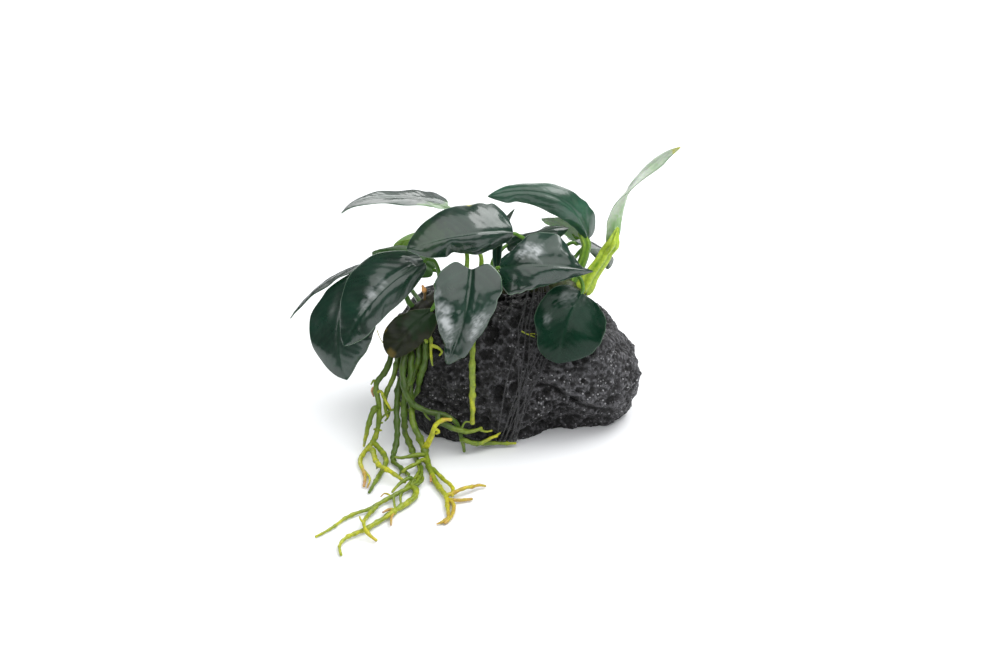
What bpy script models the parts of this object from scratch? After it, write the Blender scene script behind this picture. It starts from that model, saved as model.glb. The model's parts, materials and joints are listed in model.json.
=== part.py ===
"""A dwarf anubias tied on a lump of lava rock.

The plant creeps over the top of the stone on a thick rhizome. Leaves on stems of their
own rise from the rhizome, and roots hang from its left end, reach the surface that the
stone stands on and run forward over it. A thin thread winds round stone and rhizome.

Lengths are in millimetres and MM turns them into metres. X runs to the right, Y away
from the front and Z up. The origin lies in the flat foot of the stone.
"""

from dataclasses import dataclass

import bmesh
import bpy
import numpy as np

MM = 0.001

# ---------------------------------------------------------------- driving dimensions
GAP = 0.35                    # left between two pieces that meet
CLEARANCE = 0.75              # left between two pieces that pass each other

STONE_MIDDLE = (0.0, 0.0, 21.0)
STONE_HALF_SIZE = (42.0, 29.0)
STONE_RISE = 28.0             # from the middle up to the top
STONE_DEPTH = 34.0            # from the middle down, before the foot is cut off flat
STONE_SQUARENESS = 2.8        # 2 is an ellipsoid, more is boxier
STONE_CELLS = 15              # cells along each side of the cube that is blown up
# azimuth and elevation in degrees, height in mm, spread in degrees
STONE_LUMPS = (
    (-14, -10, 4.5, 26),      # low lobe at the right
    (0, 30, -7.5, 20),        # slope above that lobe
    (180, 42, -0.5, 30),      # shoulder under the left end of the rhizome
    (-112, 0, 3.5, 27),       # belly at the front
    (-48, -36, -11.0, 22),    # hollow low at the front right
    (-50, 0, 2.5, 14),        # ledge over the hollow
    (-82, 38, -2.0, 14),      # dent below the top edge
    (75, 12, 2.5, 24),        # swelling at the back
    (120, -22, -3.5, 17),     # hollow low at the back
    (150, 8, 2.5, 15),        # knob at the back left
    (42, 34, -6.5, 24),       # slope at the back right
    (-146, 50, -1.8, 13),     # dip under the left end of the rhizome
)
WRINKLE_HEIGHT = 1.15
PIT_COUNT = 54
PIT_DEPTH = 2.6
PIT_SPREAD = 8.0              # degrees
CHANNEL_DEPTH = 2.3           # groove in the foot that the thread runs in
CHANNEL_HALF_WIDTH = 4.0
CHANNEL_FADE = 1.2

RHIZOME_ROUTE = (
    (-38.5, -19.0, 38.5), (-33.0, -17.0, 46.5), (-20.0, -12.0, 52.5),
    (0.0, -8.0, 54.0), (14.0, -6.0, 52.8), (24.5, -5.5, 49.5),
)
RHIZOME_RADIUS = 3.6
RHIZOME_RINGS = 22
RHIZOME_SIDES = 8
RHIZOME_SCARS = 15            # old leaf scars that ring it

THREAD_RADIUS = 0.25
THREAD_TURNS = 4
THREAD_SIDES = 3
THREAD_POINTS = 72            # on each turn, before they are spaced evenly
THREAD_RING_DISTANCE = 4.6
THREAD_FOOT = 0.45            # height of its middle under the stone
THREAD_FOOT_REACH = 26.6      # how far to the front and back it runs at that height
THREAD_CLEARANCE = 1.05
# angle round the stone (0 below, 90 in front, 180 on top, 270 behind), the bundle's
# place along X there and the distance between its turns
THREAD_FAN = (
    (0, -8.5, 1.1), (60, -1.2, 1.0), (130, 10.5, 3.0), (180, 9.5, 1.3),
    (240, 3.0, 2.0), (300, -3.5, 1.0), (360, -8.5, 1.1),
)

BLADE_ROWS = 10
BLADE_COLUMNS = 4
BLADE_HALF_THICKNESS = 0.35
DROOP = 0.4                   # how much more a narrowed side hangs down
STEM_SIDES = 5
STEM_RING_DISTANCE = 5.5
ROOT_SIDES = 5
ROOT_RING_DISTANCE = 3.3
NECK = 0.4                    # a branch's radius where it leaves its parent
NECK_LENGTH = 3.5
FINE_STEP = 0.9               # distance between the points that are settled
SETTLE_ROUNDS = 120
FORK_POINTS = 5               # points of a branch that may stay close to its parent
BLADE_REACH = 1.6             # left between a strand and the sampled points of a blade
VIEWER = np.array((0.0, -0.906, 0.423))   # from the plant towards its front


@dataclass(frozen=True)
class Leaf:
    """One blade and the stem that carries it."""

    base: tuple
    tip: tuple
    face: tuple               # where its upper side looks
    width: float
    stem_at: float            # X of the stem's start on the rhizome
    arch: float = 4.0         # rise of the midrib over the straight line
    lean: float = 0.0         # the arch is nearer to the tip (+) or to the base (-)
    bow: float = 0.0          # bend of the midrib to its side
    fold: float = 0.12        # rise of the halves over the midrib, per mm of width
    cup: float = 0.25         # droop of the edges, per mm of width
    hook: float = 0.0         # drop of the last of the tip
    wave: float = 0.3         # ripple along the edges
    twist: float = 0.0        # turn of the blade from base to tip, degrees
    lobe: float = 1.5         # reach of the two lobes behind the stem
    stem_radius: float = 0.85
    stem_top: float = 0.6     # radius where it meets the blade
    stem_rise: float = 0.5    # how far the stem climbs before it bends over
    stem_run: float = 0.35    # how far it follows the blade's own line
    stem_way: tuple = ()      # points that the stem passes instead, where it must dodge
    blunt: float = 0.75       # less is a rounder tip
    edges: tuple = ()         # rows of a place along the blade and what each side keeps


LEAVES = {
    "top_left": Leaf((-22.8, 6, 77.8), (-60.1, 2, 80.1), (0, 0.1, 1), 17, -17,
                     arch=2.4, hook=3.6, cup=0.1, stem_way=((-15.9, -7, 64), (-18.5, -1, 71)),
                     edges=(
                         (0.1, 1.2, 2.2), (0.25, 0.8, 1.4), (0.5, 0.9, 1.12),
                         (0.8, 0.9, 1.1), (0.95, 0.8, 1.1))),
    "crown": Leaf((0.1, -12, 75.0), (-36.5, -22, 72.8), (-0.1, -0.75, 0.65), 25, 7,
                  arch=5, cup=0.3, stem_way=((8.5, -8, 63), (5.2, -10.5, 71)), edges=(
                      (0, 0.4, 1.3), (0.1, 0.36, 1.3), (0.2, 0.42, 1.06), (0.35, 0.48, 0.95),
                      (0.5, 0.4, 0.98), (0.6, 0.34, 1.0), (0.7, 0.55, 1.02),
                      (0.9, 0.72, 1.15))),
    "left": Leaf((-30.9, -14, 64.6), (-58.5, -30, 39.8), (-0.35, -0.75, 0.55), 27, -25,
                 arch=5, bow=1.5, edges=(
                     (0.1, 0.36, 1.0), (0.3, 0.42, 1.08), (0.5, 0.4, 1.1), (0.7, 0.5, 1.03),
                     (0.9, 0.75, 0.95))),
    "low_left": Leaf((-52, -6, 56), (-58.4, -22, 22.8), (-0.3, -0.9, 0.3), 26, -35,
                     arch=4, bow=5, wave=0.6, edges=(
                         (0.1, 0.8, 0.7), (0.3, 0.9, 0.78), (0.5, 1.0, 0.96),
                         (0.7, 1.12, 0.98), (0.8, 1.17, 0.96), (0.9, 1.03, 1.0))),
    "far_left": Leaf((-53.4, 3, 56.2), (-79.6, -1, 37.0), (-0.45, 0.25, 0.85), 16, -31,
                     arch=3, stem_way=((-38, 0, 50), (-46, 2.5, 51.5)),
                     edges=((0.2, 1.0, 1.3), (0.8, 1.0, 1.3))),
    "front": Leaf((-14.2, -31, 69.3), (-22.7, -38.5, 37.1), (0, -0.95, 0.3), 24, -14,
                  arch=4, bow=-1.8, lobe=4, fold=0.3, cup=0.35,
                  stem_way=((-14.2, -22, 59), (-14.2, -28, 65)), edges=(
                      (0.1, 1.2, 1.2), (0.2, 1.05, 1.13), (0.3, 0.85, 1.0), (0.5, 0.71, 0.87),
                      (0.7, 0.63, 0.76), (0.9, 0.75, 0.5))),
    "right": Leaf((-4.4, -24, 67), (27.8, -22, 64.6), (0.1, -0.8, 0.6), 25, -4,
                  arch=5, wave=0.9, stem_way=((-4.5, -15, 60), (-6, -21, 65)), edges=(
                      (0.1, 0.68, 1.1), (0.2, 0.8, 0.84), (0.3, 0.92, 0.66), (0.45, 1.0, 0.5),
                      (0.6, 1.02, 0.46), (0.7, 0.9, 0.42), (0.8, 0.7, 0.36),
                      (0.9, 0.25, 0.36))),
    "top_right": Leaf((26.6, 2, 66.6), (-8.2, -4, 85.4), (0.25, -0.8, 0.5), 17, 20,
                      arch=7.5, lean=-0.3, bow=7, hook=1.5, stem_radius=1.4, stem_top=1.5,
                      stem_way=((23.5, -2, 56), (25.6, 0.5, 61.5)), edges=(
                          (0, 0.3, 1.15), (0.1, 0.33, 1.1), (0.2, 0.45, 0.88),
                          (0.3, 0.55, 0.72), (0.5, 0.62, 0.62), (0.7, 0.62, 0.5),
                          (0.8, 0.65, 0.55), (0.9, 1.0, 0.65))),
    "young": Leaf((34.4, -2, 66.2), (58.8, 4, 100.6), (-0.85, 0.1, 0.5), 10.5, 24,
                  arch=6, twist=150, fold=0.3, stem_radius=2.2, stem_top=2.1,
                  stem_way=((28.2, -4, 56.0), (31.6, -3, 60.6)), edges=(
                      (0.1, 1.0, 0.68), (0.2, 0.8, 0.84), (0.4, 1.2, 1.0), (0.6, 0.5, 1.0),
                      (0.8, 0.6, 0.95), (0.9, 0.6, 0.7))),
    "on_stone": Leaf((24, -22, 56.4), (16.1, -33, 34.6), (0.1, -0.95, 0.3), 26, 3,
                     arch=3, bow=2, blunt=0.55, edges=(
                         (0.1, 1.3, 1.0), (0.3, 1.1, 0.9), (0.5, 1.05, 0.88),
                         (0.7, 1.1, 0.76), (0.9, 1.3, 0.9))),
    "pale": Leaf((23.5, 8, 65.0), (10.3, 7, 72.3), (0.2, 0.75, 0.6), 10, 17, arch=2),
    "back_right": Leaf((23, 13, 61), (35, 25, 45), (0.6, 0.5, 0.6), 14, 13.5,
                       stem_way=((15.5, 11, 55), (19.5, 12.5, 60)),
                       edges=((0.2, 1.3, 1.0), (0.6, 1.7, 1.1))),
    "back_left": Leaf((-23.5, 10, 62), (-43, 24, 49.5), (-0.2, 0.3, 0.9), 15, -12,
                      arch=6.5, blunt=0.5, stem_way=((-11, -3, 62.5), (-16, 4, 63))),
    "back_middle": Leaf((-28, -1, 56), (-50, 7, 59.4), (-0.1, -0.5, 0.8), 14, -28,
                        blunt=0.6, edges=((0.3, 1.0, 0.8), (0.9, 1.0, 0.6))),
    "behind": Leaf((-2, 2, 64.5), (20, 5, 69.5), (-0.2, -0.7, 0.7), 14, -7,
                   stem_way=((-7, -3, 60.5),), edges=(
                       (0.1, 0.7, 0.8), (0.3, 0.3, 0.8), (0.5, 0.15, 0.8),
                       (0.7, 0.4, 0.8), (0.9, 0.5, 0.9))),
    "old": Leaf((-28.4, -22, 49.5), (-42.4, -28, 34.6), (-0.2, -0.95, 0.2), 15, -23.5,
                arch=1, bow=1, stem_way=((-24.5, -18, 55.5), (-26.5, -20.8, 52.3)),
                blunt=0.5, edges=((0, 1.0, 0.4), (0.3, 0.95, 0.75), (0.5, 0.8, 0.95),
                                  (0.8, 0.75, 1.05))),
}
BUD = Leaf((-5, -9, 58), (0.8, 0, 79), (0, -1, 0), 3.4, -5, arch=1, bow=-3, fold=0.9, cup=0)


@dataclass(frozen=True)
class Root:
    """One unbranched stretch of root, from its parent to its tip."""

    parent: str
    radius: float
    tip_radius: float
    route: tuple


ROOTS = {
    "left": Root("rhizome", 1.1, 0.52, (
        (-40, -20, 36), (-43, -21.5, 29.5), (-45, -23, 26), (-48, -24, 23), (-48, -26, 20),
        (-47, -28, 17), (-47, -30, 12), (-48, -32, 6), (-50, -34, 3), (-53, -39, 1.4),
        (-53, -45, 1.2), (-51, -52, 1), (-51, -60, 1))),
    "left_yellow": Root("left", 0.92, 0.46, (
        (-47, -28.5, 17), (-49, -31, 15), (-50.5, -33, 11), (-51.5, -34, 7),
        (-52.5, -31, 1.2))),
    "left_fork": Root("left", 0.98, 0.52, (
        (-49, -33, 4), (-46, -37, 2.4), (-44, -42, 1.4), (-45, -48, 1), (-47, -56, 1),
        (-49, -64, 0.8))),
    "left_slant": Root("left", 0.92, 0.57, (
        (-49.5, -35, 3.2), (-48, -44, 3.6), (-46, -51, 4), (-42, -55, 4),
        (-37, -58.5, 1.8))),
    "left_curl": Root("left", 0.61, 0.4, (
        (-48, -25.5, 21), (-46, -27, 21), (-45, -28, 18), (-43, -29, 15))),
    "second": Root("rhizome", 1.1, 0.57, (
        (-39.3, -21, 35), (-41, -22.5, 29), (-42, -23.5, 24), (-44, -25, 21), (-45, -27, 17),
        (-45, -28, 14), (-44, -29, 12))),
    "inner": Root("rhizome", 1.22, 0.92, (
        (-30, -19, 42), (-31, -22, 34), (-33, -23, 27), (-34, -24, 22), (-36, -25, 17),
        (-37, -27, 13))),
    "bent": Root("rhizome", 1.22, 0.63, (
        (-36.8, -21.5, 34.5), (-38, -23, 28), (-40, -26, 22), (-40.5, -28, 17),
        (-40.5, -31, 12), (-40.5, -34, 7), (-41, -36, 3.5), (-42, -41, 1.6),
        (-39, -47, 1.4), (-36, -52, 1.2))),
    "foot": Root("rhizome", 1.28, 0.57, (
        (-35.5, -23, 37), (-37, -26.5, 29), (-37.5, -30.5, 22), (-35, -31.5, 18),
        (-29, -32, 15),
        (-23, -33, 14.5), (-20, -34, 12), (-18, -35, 8), (-17, -35, 1.4))),
    "crossing": Root("rhizome", 1.22, 0.57, (
        (-31.5, -20.5, 40), (-33, -23, 31), (-35.5, -25.5, 24), (-36, -27, 20),
        (-36, -29.5, 16), (-35, -34, 12), (-33, -36, 8), (-31, -38, 4), (-30, -42, 2.6),
        (-29, -48, 1.8), (-27, -56, 1.6),
        (-25, -62, 1.4), (-22.5, -69, 1.4), (-22, -77, 1.2), (-21.5, -83, 1),
        (-24, -85, 0.9))),
    "far": Root("rhizome", 1.1, 0.4, (
        (-34.3, -22, 35.5), (-36, -26, 29), (-37, -28, 22), (-37.5, -30, 17),
        (-38, -31, 12), (-38, -30, 6),
        (-36, -33, 2.4), (-34, -40, 1.2), (-32, -47, 1.2), (-32, -55, 1.4),
        (-35, -62, 1.8), (-40, -68, 2), (-44, -72, 1.6), (-48, -77, 1.5), (-52, -79, 1.3),
        (-56, -82, 1), (-59, -87, 0.9), (-62, -91, 0.8), (-65, -94, 0.7))),
    "yellow_tip": Root("crossing", 1.04, 0.52, (
        (-31, -39.5, 4.5), (-29, -39, 7), (-28, -39, 10.5), (-27, -38, 13.5),
        (-24, -37, 15), (-21.5, -36.5, 14.5))),
    "yellow_upper": Root("crossing", 0.73, 0.52, (
        (-31.5, -41, 3.6), (-35, -43, 3.6), (-39, -43, 2.6), (-41, -43, 2))),
    "yellow_lower": Root("crossing", 0.73, 0.52, (
        (-30.5, -43, 3), (-33, -48, 3.4), (-36, -50, 2.8), (-38, -52.5, 2.4))),
    "gold_hook": Root("crossing", 0.73, 0.4, (
        (-22, -68.5, 1.6), (-19, -66, 2.4), (-16, -64, 2.6), (-13, -62, 2),
        (-11, -59.5, 1.4), (-9.5, -60, 1))),
    "gold_stub": Root("crossing", 0.67, 0.46, (
        (-21, -70, 1.4), (-18, -70.5, 1.1), (-14, -69, 0.9))),
    "front": Root("far", 0.98, 0.46, (
        (-33, -61, 1.6), (-33, -67, 1.5), (-35, -72, 1.5), (-39, -77, 1.5),
        (-42, -82, 1.5), (-46, -87, 1.5), (-49, -91, 1.5), (-53, -94, 1.5),
        (-56, -98, 1.6), (-57, -101, 1.2), (-56, -106, 0.8))),
    "loop": Root("far", 0.79, 0.46, (
        (-45, -74, 2), (-47.5, -79, 1.8), (-49, -84, 2), (-49.5, -91, 4), (-48, -95, 2.4),
        (-45, -97, 1))),
    "spur": Root("far", 0.73, 0.46, (
        (-33.5, -57, 2.6), (-36, -60, 4), (-39, -63, 3.2), (-41, -66, 2))),
    "ledge": Root("foot", 1.1, 0.52, (
        (-28, -33.5, 14), (-23, -35, 11.5), (-18, -35, 9.5), (-15, -34, 8.2),
        (-11, -33, 9.3))),
    "ledge_fork": Root("foot", 0.92, 0.46, (
        (-18.5, -36.5, 7.5), (-15, -35.5, 5), (-11.5, -34, 3.4), (-8, -32, 5),
        (-5.5, -31.5, 5.5))),
    "ledge_foot": Root("ledge_fork", 0.85, 0.46, (
        (-14.5, -34.5, 4), (-12, -32.6, 3), (-8, -31, 2.4), (-3, -30.2, 1.8), (1, -29.7, 1.6))),
    "aerial": Root("rhizome", 1.16, 0.86, (
        (-15, -16, 49), (-14, -27, 45.5), (-14, -31.5, 41), (-14, -34, 34),
        (-14, -35, 26), (-14, -35, 19), (-14, -35, 12.5))),
    "thin": Root("rhizome", 0.73, 0.34, (
        (-30, -19, 44), (-30, -24, 42), (-29, -25, 38), (-29, -26, 35), (-28, -27, 31))),
}

# ---------------------------------------------------------------- finishes
FINISHES = {                  # red, green, blue, roughness
    "stone": (0.022, 0.022, 0.025, 0.92),
    "thread": (0.012, 0.012, 0.014, 0.6),
    "rhizome": (0.05, 0.065, 0.02, 0.6),
    "blade": (0.008, 0.035, 0.02, 0.3),
    "blade_pale": (0.12, 0.3, 0.06, 0.4),
    "blade_old": (0.075, 0.075, 0.012, 0.5),
    "stem": (0.13, 0.28, 0.02, 0.4),
    "root": (0.1, 0.19, 0.018, 0.45),
    "root_yellow": (0.55, 0.5, 0.02, 0.45),
}
PALE_LEAVES = ("young", "pale", "back_left")
YELLOW_ROOTS = ("left_yellow", "yellow_tip", "gold_hook", "gold_stub")


def finish_material(name):
    """One of the finishes above as a material."""
    red, green, blue, roughness = FINISHES[name]
    material = bpy.data.materials.get(name) or bpy.data.materials.new(name)
    material.use_nodes = True
    shader = material.node_tree.nodes["Principled BSDF"]
    shader.inputs["Base Color"].default_value = (red, green, blue, 1.0)
    shader.inputs["Roughness"].default_value = roughness
    shader.inputs["Metallic"].default_value = 0.0
    return material


# ---------------------------------------------------------------- geometry helpers
def unit(vectors):
    """Vectors scaled to length 1."""
    vectors = np.asarray(vectors, dtype=float)
    return vectors / np.linalg.norm(vectors, axis=-1, keepdims=True)


def smooth_curve(route, step):
    """Points about one step apart on a smooth curve through the route's points."""
    knots = np.asarray(route, dtype=float)
    padded = np.vstack((2 * knots[0] - knots[1], knots, 2 * knots[-1] - knots[-2]))
    pieces = []
    for before, start, end, after in zip(padded, padded[1:], padded[2:], padded[3:]):
        count = max(2, round(np.linalg.norm(end - start) / step * 2))
        share = np.linspace(0, 1, count, endpoint=False)[:, None]
        pieces.append(0.5 * (2 * start + (end - before) * share
                             + (2 * before - 5 * start + 4 * end - after) * share**2
                             + (3 * start - 3 * end + after - before) * share**3))
    return evenly_spaced(np.vstack(pieces + [knots[-1:]]), step)


def evenly_spaced(points, step):
    """The same line with its points about one step apart."""
    lengths = np.linalg.norm(np.diff(points, axis=0), axis=1)
    run = np.concatenate(([0.0], np.cumsum(lengths)))
    wanted = np.linspace(0, run[-1], max(3, round(run[-1] / step) + 1))
    return np.stack([np.interp(wanted, run, points[:, axis]) for axis in range(3)], axis=1)


def frames_along(points):
    """Two directions across a line at each of its points, with no sudden turns."""
    tangents = unit(np.gradient(points, axis=0))
    first = np.cross(tangents[0], (0.3, 0.5, 0.81))
    across = [unit(first)]
    for tangent in tangents[1:]:
        carried = across[-1] - tangent * np.dot(across[-1], tangent)
        across.append(unit(carried))
    across = np.array(across)
    return across, np.cross(tangents, across)


def loft(name, rings, start, end, finish, cuts=None):
    """A closed body through rings of points, drawn to a point at both ends.

    Where cuts are given, they say for each place round the rings whether its quads are
    cut in two from that place to the next place of the next ring, or the other way.
    """
    per_ring = len(rings[0])
    points = np.vstack((np.reshape(rings, (-1, 3)), start, end))
    start_index, end_index = len(points) - 2, len(points) - 1
    last_ring = (len(rings) - 1) * per_ring
    faces = []
    for index in range(per_ring):
        beside = (index + 1) % per_ring
        faces.append((start_index, beside, index))
        faces.append((end_index, last_ring + index, last_ring + beside))
        for ring in range(0, last_ring, per_ring):
            near, near_beside = ring + index, ring + beside
            far, far_beside = near + per_ring, near_beside + per_ring
            if cuts is None:
                faces.append((near, near_beside, far_beside, far))
            elif cuts[index]:
                faces.append((near, near_beside, far_beside))
                faces.append((near, far_beside, far))
            else:
                faces.append((near, near_beside, far))
                faces.append((near_beside, far_beside, far))
    return add_body(name, points, faces, finish)


def add_body(name, points, faces, finish):
    """A mesh object from points in millimetres, its faces turned to point out."""
    mesh = bpy.data.meshes.new(name)
    mesh.from_pydata((np.asarray(points) * MM).tolist(), [], faces)
    form = bmesh.new()
    form.from_mesh(mesh)
    bmesh.ops.recalc_face_normals(form, faces=form.faces)
    if form.calc_volume(signed=True) < 0:
        bmesh.ops.reverse_faces(form, faces=form.faces)
    form.to_mesh(mesh)
    form.free()
    mesh.shade_smooth()
    mesh.materials.append(finish_material(finish))
    body = bpy.data.objects.new(name, mesh)
    bpy.context.scene.collection.objects.link(body)
    return body


def tube(name, points, radii, sides, finish):
    """A round bar of changing radius along a line, with blunt rounded ends."""
    across, over = frames_along(points)
    angles = np.linspace(0, 2 * np.pi, sides, endpoint=False)[None, :, None]
    circle = across[:, None] * np.cos(angles) + over[:, None] * np.sin(angles)
    rings = points[:, None] + circle * np.asarray(radii)[:, None, None]
    start = points[0] - unit(points[1] - points[0]) * radii[0] * 0.3
    end = points[-1] + unit(points[-1] - points[-2]) * radii[-1] * 0.9
    return loft(name, rings, start, end, finish)


# ---------------------------------------------------------------- stone
def direction(azimuth, elevation):
    """Unit vector at two angles in degrees; azimuth 0 is +X and -90 the front."""
    azimuth, elevation = np.radians(azimuth), np.radians(elevation)
    level = np.cos(elevation)
    return np.array((level * np.cos(azimuth), level * np.sin(azimuth), np.sin(elevation)))


def bump(directions, middle, spread):
    """1 at a direction and falling away round it, over a spread in degrees."""
    angle = np.degrees(np.arccos(np.clip(directions @ middle, -1, 1)))
    return np.exp(-(angle / spread)**2)


def wrinkle(directions):
    """Uneven swell of the rock, between about -1 and 1."""
    x, y, z = directions.T
    coarse = np.sin(7.1 * x + 2.0 * np.sin(4.3 * z)) * np.cos(6.3 * y - 5.1 * z)
    fine = np.sin(13.7 * x - 9.1 * y + 1.0) * np.sin(12.3 * z + 7.9 * y)
    return 0.65 * coarse + 0.5 * fine


def pits(directions):
    """Depth of the open bubbles in the rock, spread evenly by the golden angle."""
    golden = 137.508
    depth = np.zeros(len(directions))
    for number in range(PIT_COUNT):
        elevation = np.degrees(np.arcsin(1 - 2 * (number + 0.5) / PIT_COUNT))
        size = 0.6 + 0.4 * np.sin(number * 2.4)
        middle = direction(number * golden + 8 * np.sin(number), elevation)
        depth += PIT_DEPTH * size * bump(directions, middle, PIT_SPREAD * size)
    return depth


def stone_radius(directions):
    """Distance from the stone's middle to its surface along unit directions."""
    half_height = np.where(directions[:, 2] > 0, STONE_RISE, STONE_DEPTH)
    shares = (np.abs(directions[:, 0] / STONE_HALF_SIZE[0])**STONE_SQUARENESS
              + np.abs(directions[:, 1] / STONE_HALF_SIZE[1])**STONE_SQUARENESS
              + np.abs(directions[:, 2] / half_height)**STONE_SQUARENESS)
    radius = shares**(-1 / STONE_SQUARENESS)
    for azimuth, elevation, height, spread in STONE_LUMPS:
        radius += height * bump(directions, direction(azimuth, elevation), spread)
    return radius + WRINKLE_HEIGHT * wrinkle(directions) - pits(directions)


def foot_height(points):
    """Height of the stone's underside: flat at 0, with a groove for the thread."""
    angles = np.where(points[:, 1] < 0, 60.0, -60.0) * np.minimum(
        np.abs(points[:, 1]) / STONE_HALF_SIZE[1], 1)
    middle = fan_place(angles)[0]
    beside = np.abs(points[:, 0] - middle) - CHANNEL_HALF_WIDTH
    return CHANNEL_DEPTH * np.clip(1 - beside / CHANNEL_FADE, 0, 1)


def stone_distance(points):
    """Distance of points from the stone, negative inside it."""
    offsets = points - np.array(STONE_MIDDLE)
    reach = np.linalg.norm(offsets, axis=1)
    beyond = reach - stone_radius(offsets / reach[:, None])
    return np.maximum(beyond, foot_height(points) - points[:, 2])


def build_stone():
    """The lump of lava rock, with its flat foot and the groove across it."""
    form = bmesh.new()
    bmesh.ops.create_cube(form, size=2.0)
    bmesh.ops.subdivide_edges(form, edges=form.edges, cuts=STONE_CELLS - 1,
                              use_grid_fill=True)
    cube = np.array([vertex.co[:] for vertex in form.verts])
    faces = [[vertex.index for vertex in face.verts] for face in form.faces]
    form.free()
    directions = unit(np.tan(cube * np.pi / 4))
    points = np.array(STONE_MIDDLE) + directions * stone_radius(directions)[:, None]
    points[:, 2] = np.maximum(points[:, 2], foot_height(points))
    return add_body("stone", points, faces, "stone")


# ---------------------------------------------------------------- rhizome
def rhizome_line(step=FINE_STEP):
    """Middle line of the rhizome."""
    return smooth_curve(RHIZOME_ROUTE, step)


def build_rhizome():
    """The creeping stem, ringed by old leaf scars and blunt at both ends."""
    length = len(rhizome_line())
    points = rhizome_line(FINE_STEP * length / RHIZOME_RINGS)
    share = np.linspace(0, 1, len(points))
    scars = 1 - 0.07 * np.abs(np.sin(share * np.pi * RHIZOME_SCARS))
    ends = np.minimum(1, 0.62 + 3.5 * np.minimum(share, 1 - share))
    return tube("rhizome", points, RHIZOME_RADIUS * scars * ends, RHIZOME_SIDES, "rhizome")


# ---------------------------------------------------------------- leaf blades
def blade_outline(along, blunt):
    """Half width of a blade from 0 at its base over 1 at its widest to 0 at its tip."""
    before, after = 0.5, blunt
    widest = before / (before + after)
    peak = widest**before * (1 - widest)**after
    return along**before * (1 - along)**after / peak


def kept_shares(leaf, along, across):
    """How much of its half width each side of a blade keeps, by row and column."""
    if not leaf.edges:
        return np.ones((len(along), len(across)))
    at, one, other = np.array(leaf.edges).T
    before = np.clip(np.searchsorted(at, along) - 1, 0, len(at) - 2)
    share = np.clip((along - at[before]) / (at[before + 1] - at[before]), 0, 1)
    share = share * share * (3 - 2 * share)
    one, other = (side[before] + (side[before + 1] - side[before]) * share
                  for side in (one, other))
    return np.where(across[None] < 0, one[:, None], other[:, None])


def blade_surface(leaf, along, across):
    """Middle surface of a blade and its normals, one row for each value of along."""
    base, tip = np.array(leaf.base, float), np.array(leaf.tip, float)
    chord = tip - base
    up = unit(np.array(leaf.face) - chord * np.dot(leaf.face, chord) / np.dot(chord, chord))
    side = unit(np.cross(chord, up))
    share = along[:, None]
    hump = 4 * share * (1 - share)
    rib = (base + chord * share + side * leaf.bow * hump
           + up * (leaf.arch * hump * (1 + leaf.lean * (2 * share - 1))
                   - leaf.hook * share**10))
    ahead = unit(np.gradient(rib, along, axis=0))
    rise = unit(up - ahead * (ahead @ up)[:, None])
    level = np.cross(ahead, rise)
    turn = np.radians(leaf.twist) * (share - 0.5)
    rise, level = (rise * np.cos(turn) + level * np.sin(turn),
                   level * np.cos(turn) - rise * np.sin(turn))
    half_width = 0.5 * leaf.width * blade_outline(along, leaf.blunt)[:, None]
    v = across[None, :]
    kept = kept_shares(leaf, along, across)
    outward = half_width * v * kept
    ripple = leaf.wave * np.sin(along[:, None] * 17 + 3 * v) * v**2
    droop = leaf.cup + DROOP * np.maximum(1 - kept, 0)
    height = half_width * (leaf.fold * np.abs(v) - droop * v**2) + ripple * hump
    back = leaf.lobe * np.abs(v)**1.5 * (1 - share)**3
    surface = (rib[:, None] + level[:, None] * outward[..., None]
               + rise[:, None] * height[..., None] - ahead[:, None] * back[..., None])
    return surface, np.repeat(rise[:, None], len(across), axis=1)


def build_blade(name, leaf, finish):
    """One leaf blade: thickest at its midrib and thin at its edges."""
    along = 0.5 - 0.5 * np.cos(np.linspace(0, np.pi, BLADE_ROWS + 1))
    across = np.linspace(-1, 1, BLADE_COLUMNS + 1)
    surface, normals = blade_surface(leaf, along, across)
    thickness = BLADE_HALF_THICKNESS * np.sqrt(1 - across**2)[None, :, None]
    above = surface + normals * thickness
    below = surface - normals * thickness
    rings = np.concatenate((above[1:-1], below[1:-1, -2:0:-1]), axis=1)
    middle = BLADE_COLUMNS // 2
    # both skins are cut along the same lines, so that neither breaks through the other
    outward = np.arange(BLADE_COLUMNS) >= middle
    cuts = np.concatenate((outward, ~outward[::-1]))
    return loft(name, rings, surface[0, middle], surface[-1, middle], finish, cuts)


# ---------------------------------------------------------------- stems and roots
@dataclass
class Strand:
    """A stem or a root while its line is being settled."""

    name: str
    parent: str
    home: np.ndarray          # its points before they are settled
    radii: np.ndarray
    held_end: bool

    def __post_init__(self):
        """Start from home."""
        self.points = self.home.copy()


def rhizome_point(x):
    """Point of the rhizome's middle line at a place along X."""
    line = rhizome_line()
    return np.array([np.interp(x, line[:, 0], line[:, axis]) for axis in range(3)])


def stem_strand(name, leaf):
    """A stem that climbs from the rhizome and bends into its blade's own line."""
    start = rhizome_point(leaf.stem_at)
    base = np.array(leaf.base, float)
    axis = unit(np.array(leaf.tip) - base)
    arrival = unit(base - leaf.stem_way[-1]) if leaf.stem_way else axis
    end = base - arrival * (GAP + leaf.stem_top + 0.12 * leaf.lobe)
    if leaf.stem_way:
        line = smooth_curve((start, *leaf.stem_way, end), FINE_STEP)
    else:
        line = bent_line(start, end, axis, leaf)
    line = line[np.linalg.norm(line - start, axis=1) > RHIZOME_RADIUS]
    points = evenly_spaced(line, FINE_STEP)
    radii = np.linspace(leaf.stem_radius, leaf.stem_top, len(points))
    return Strand(name, "rhizome", points, radii, True)


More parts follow.
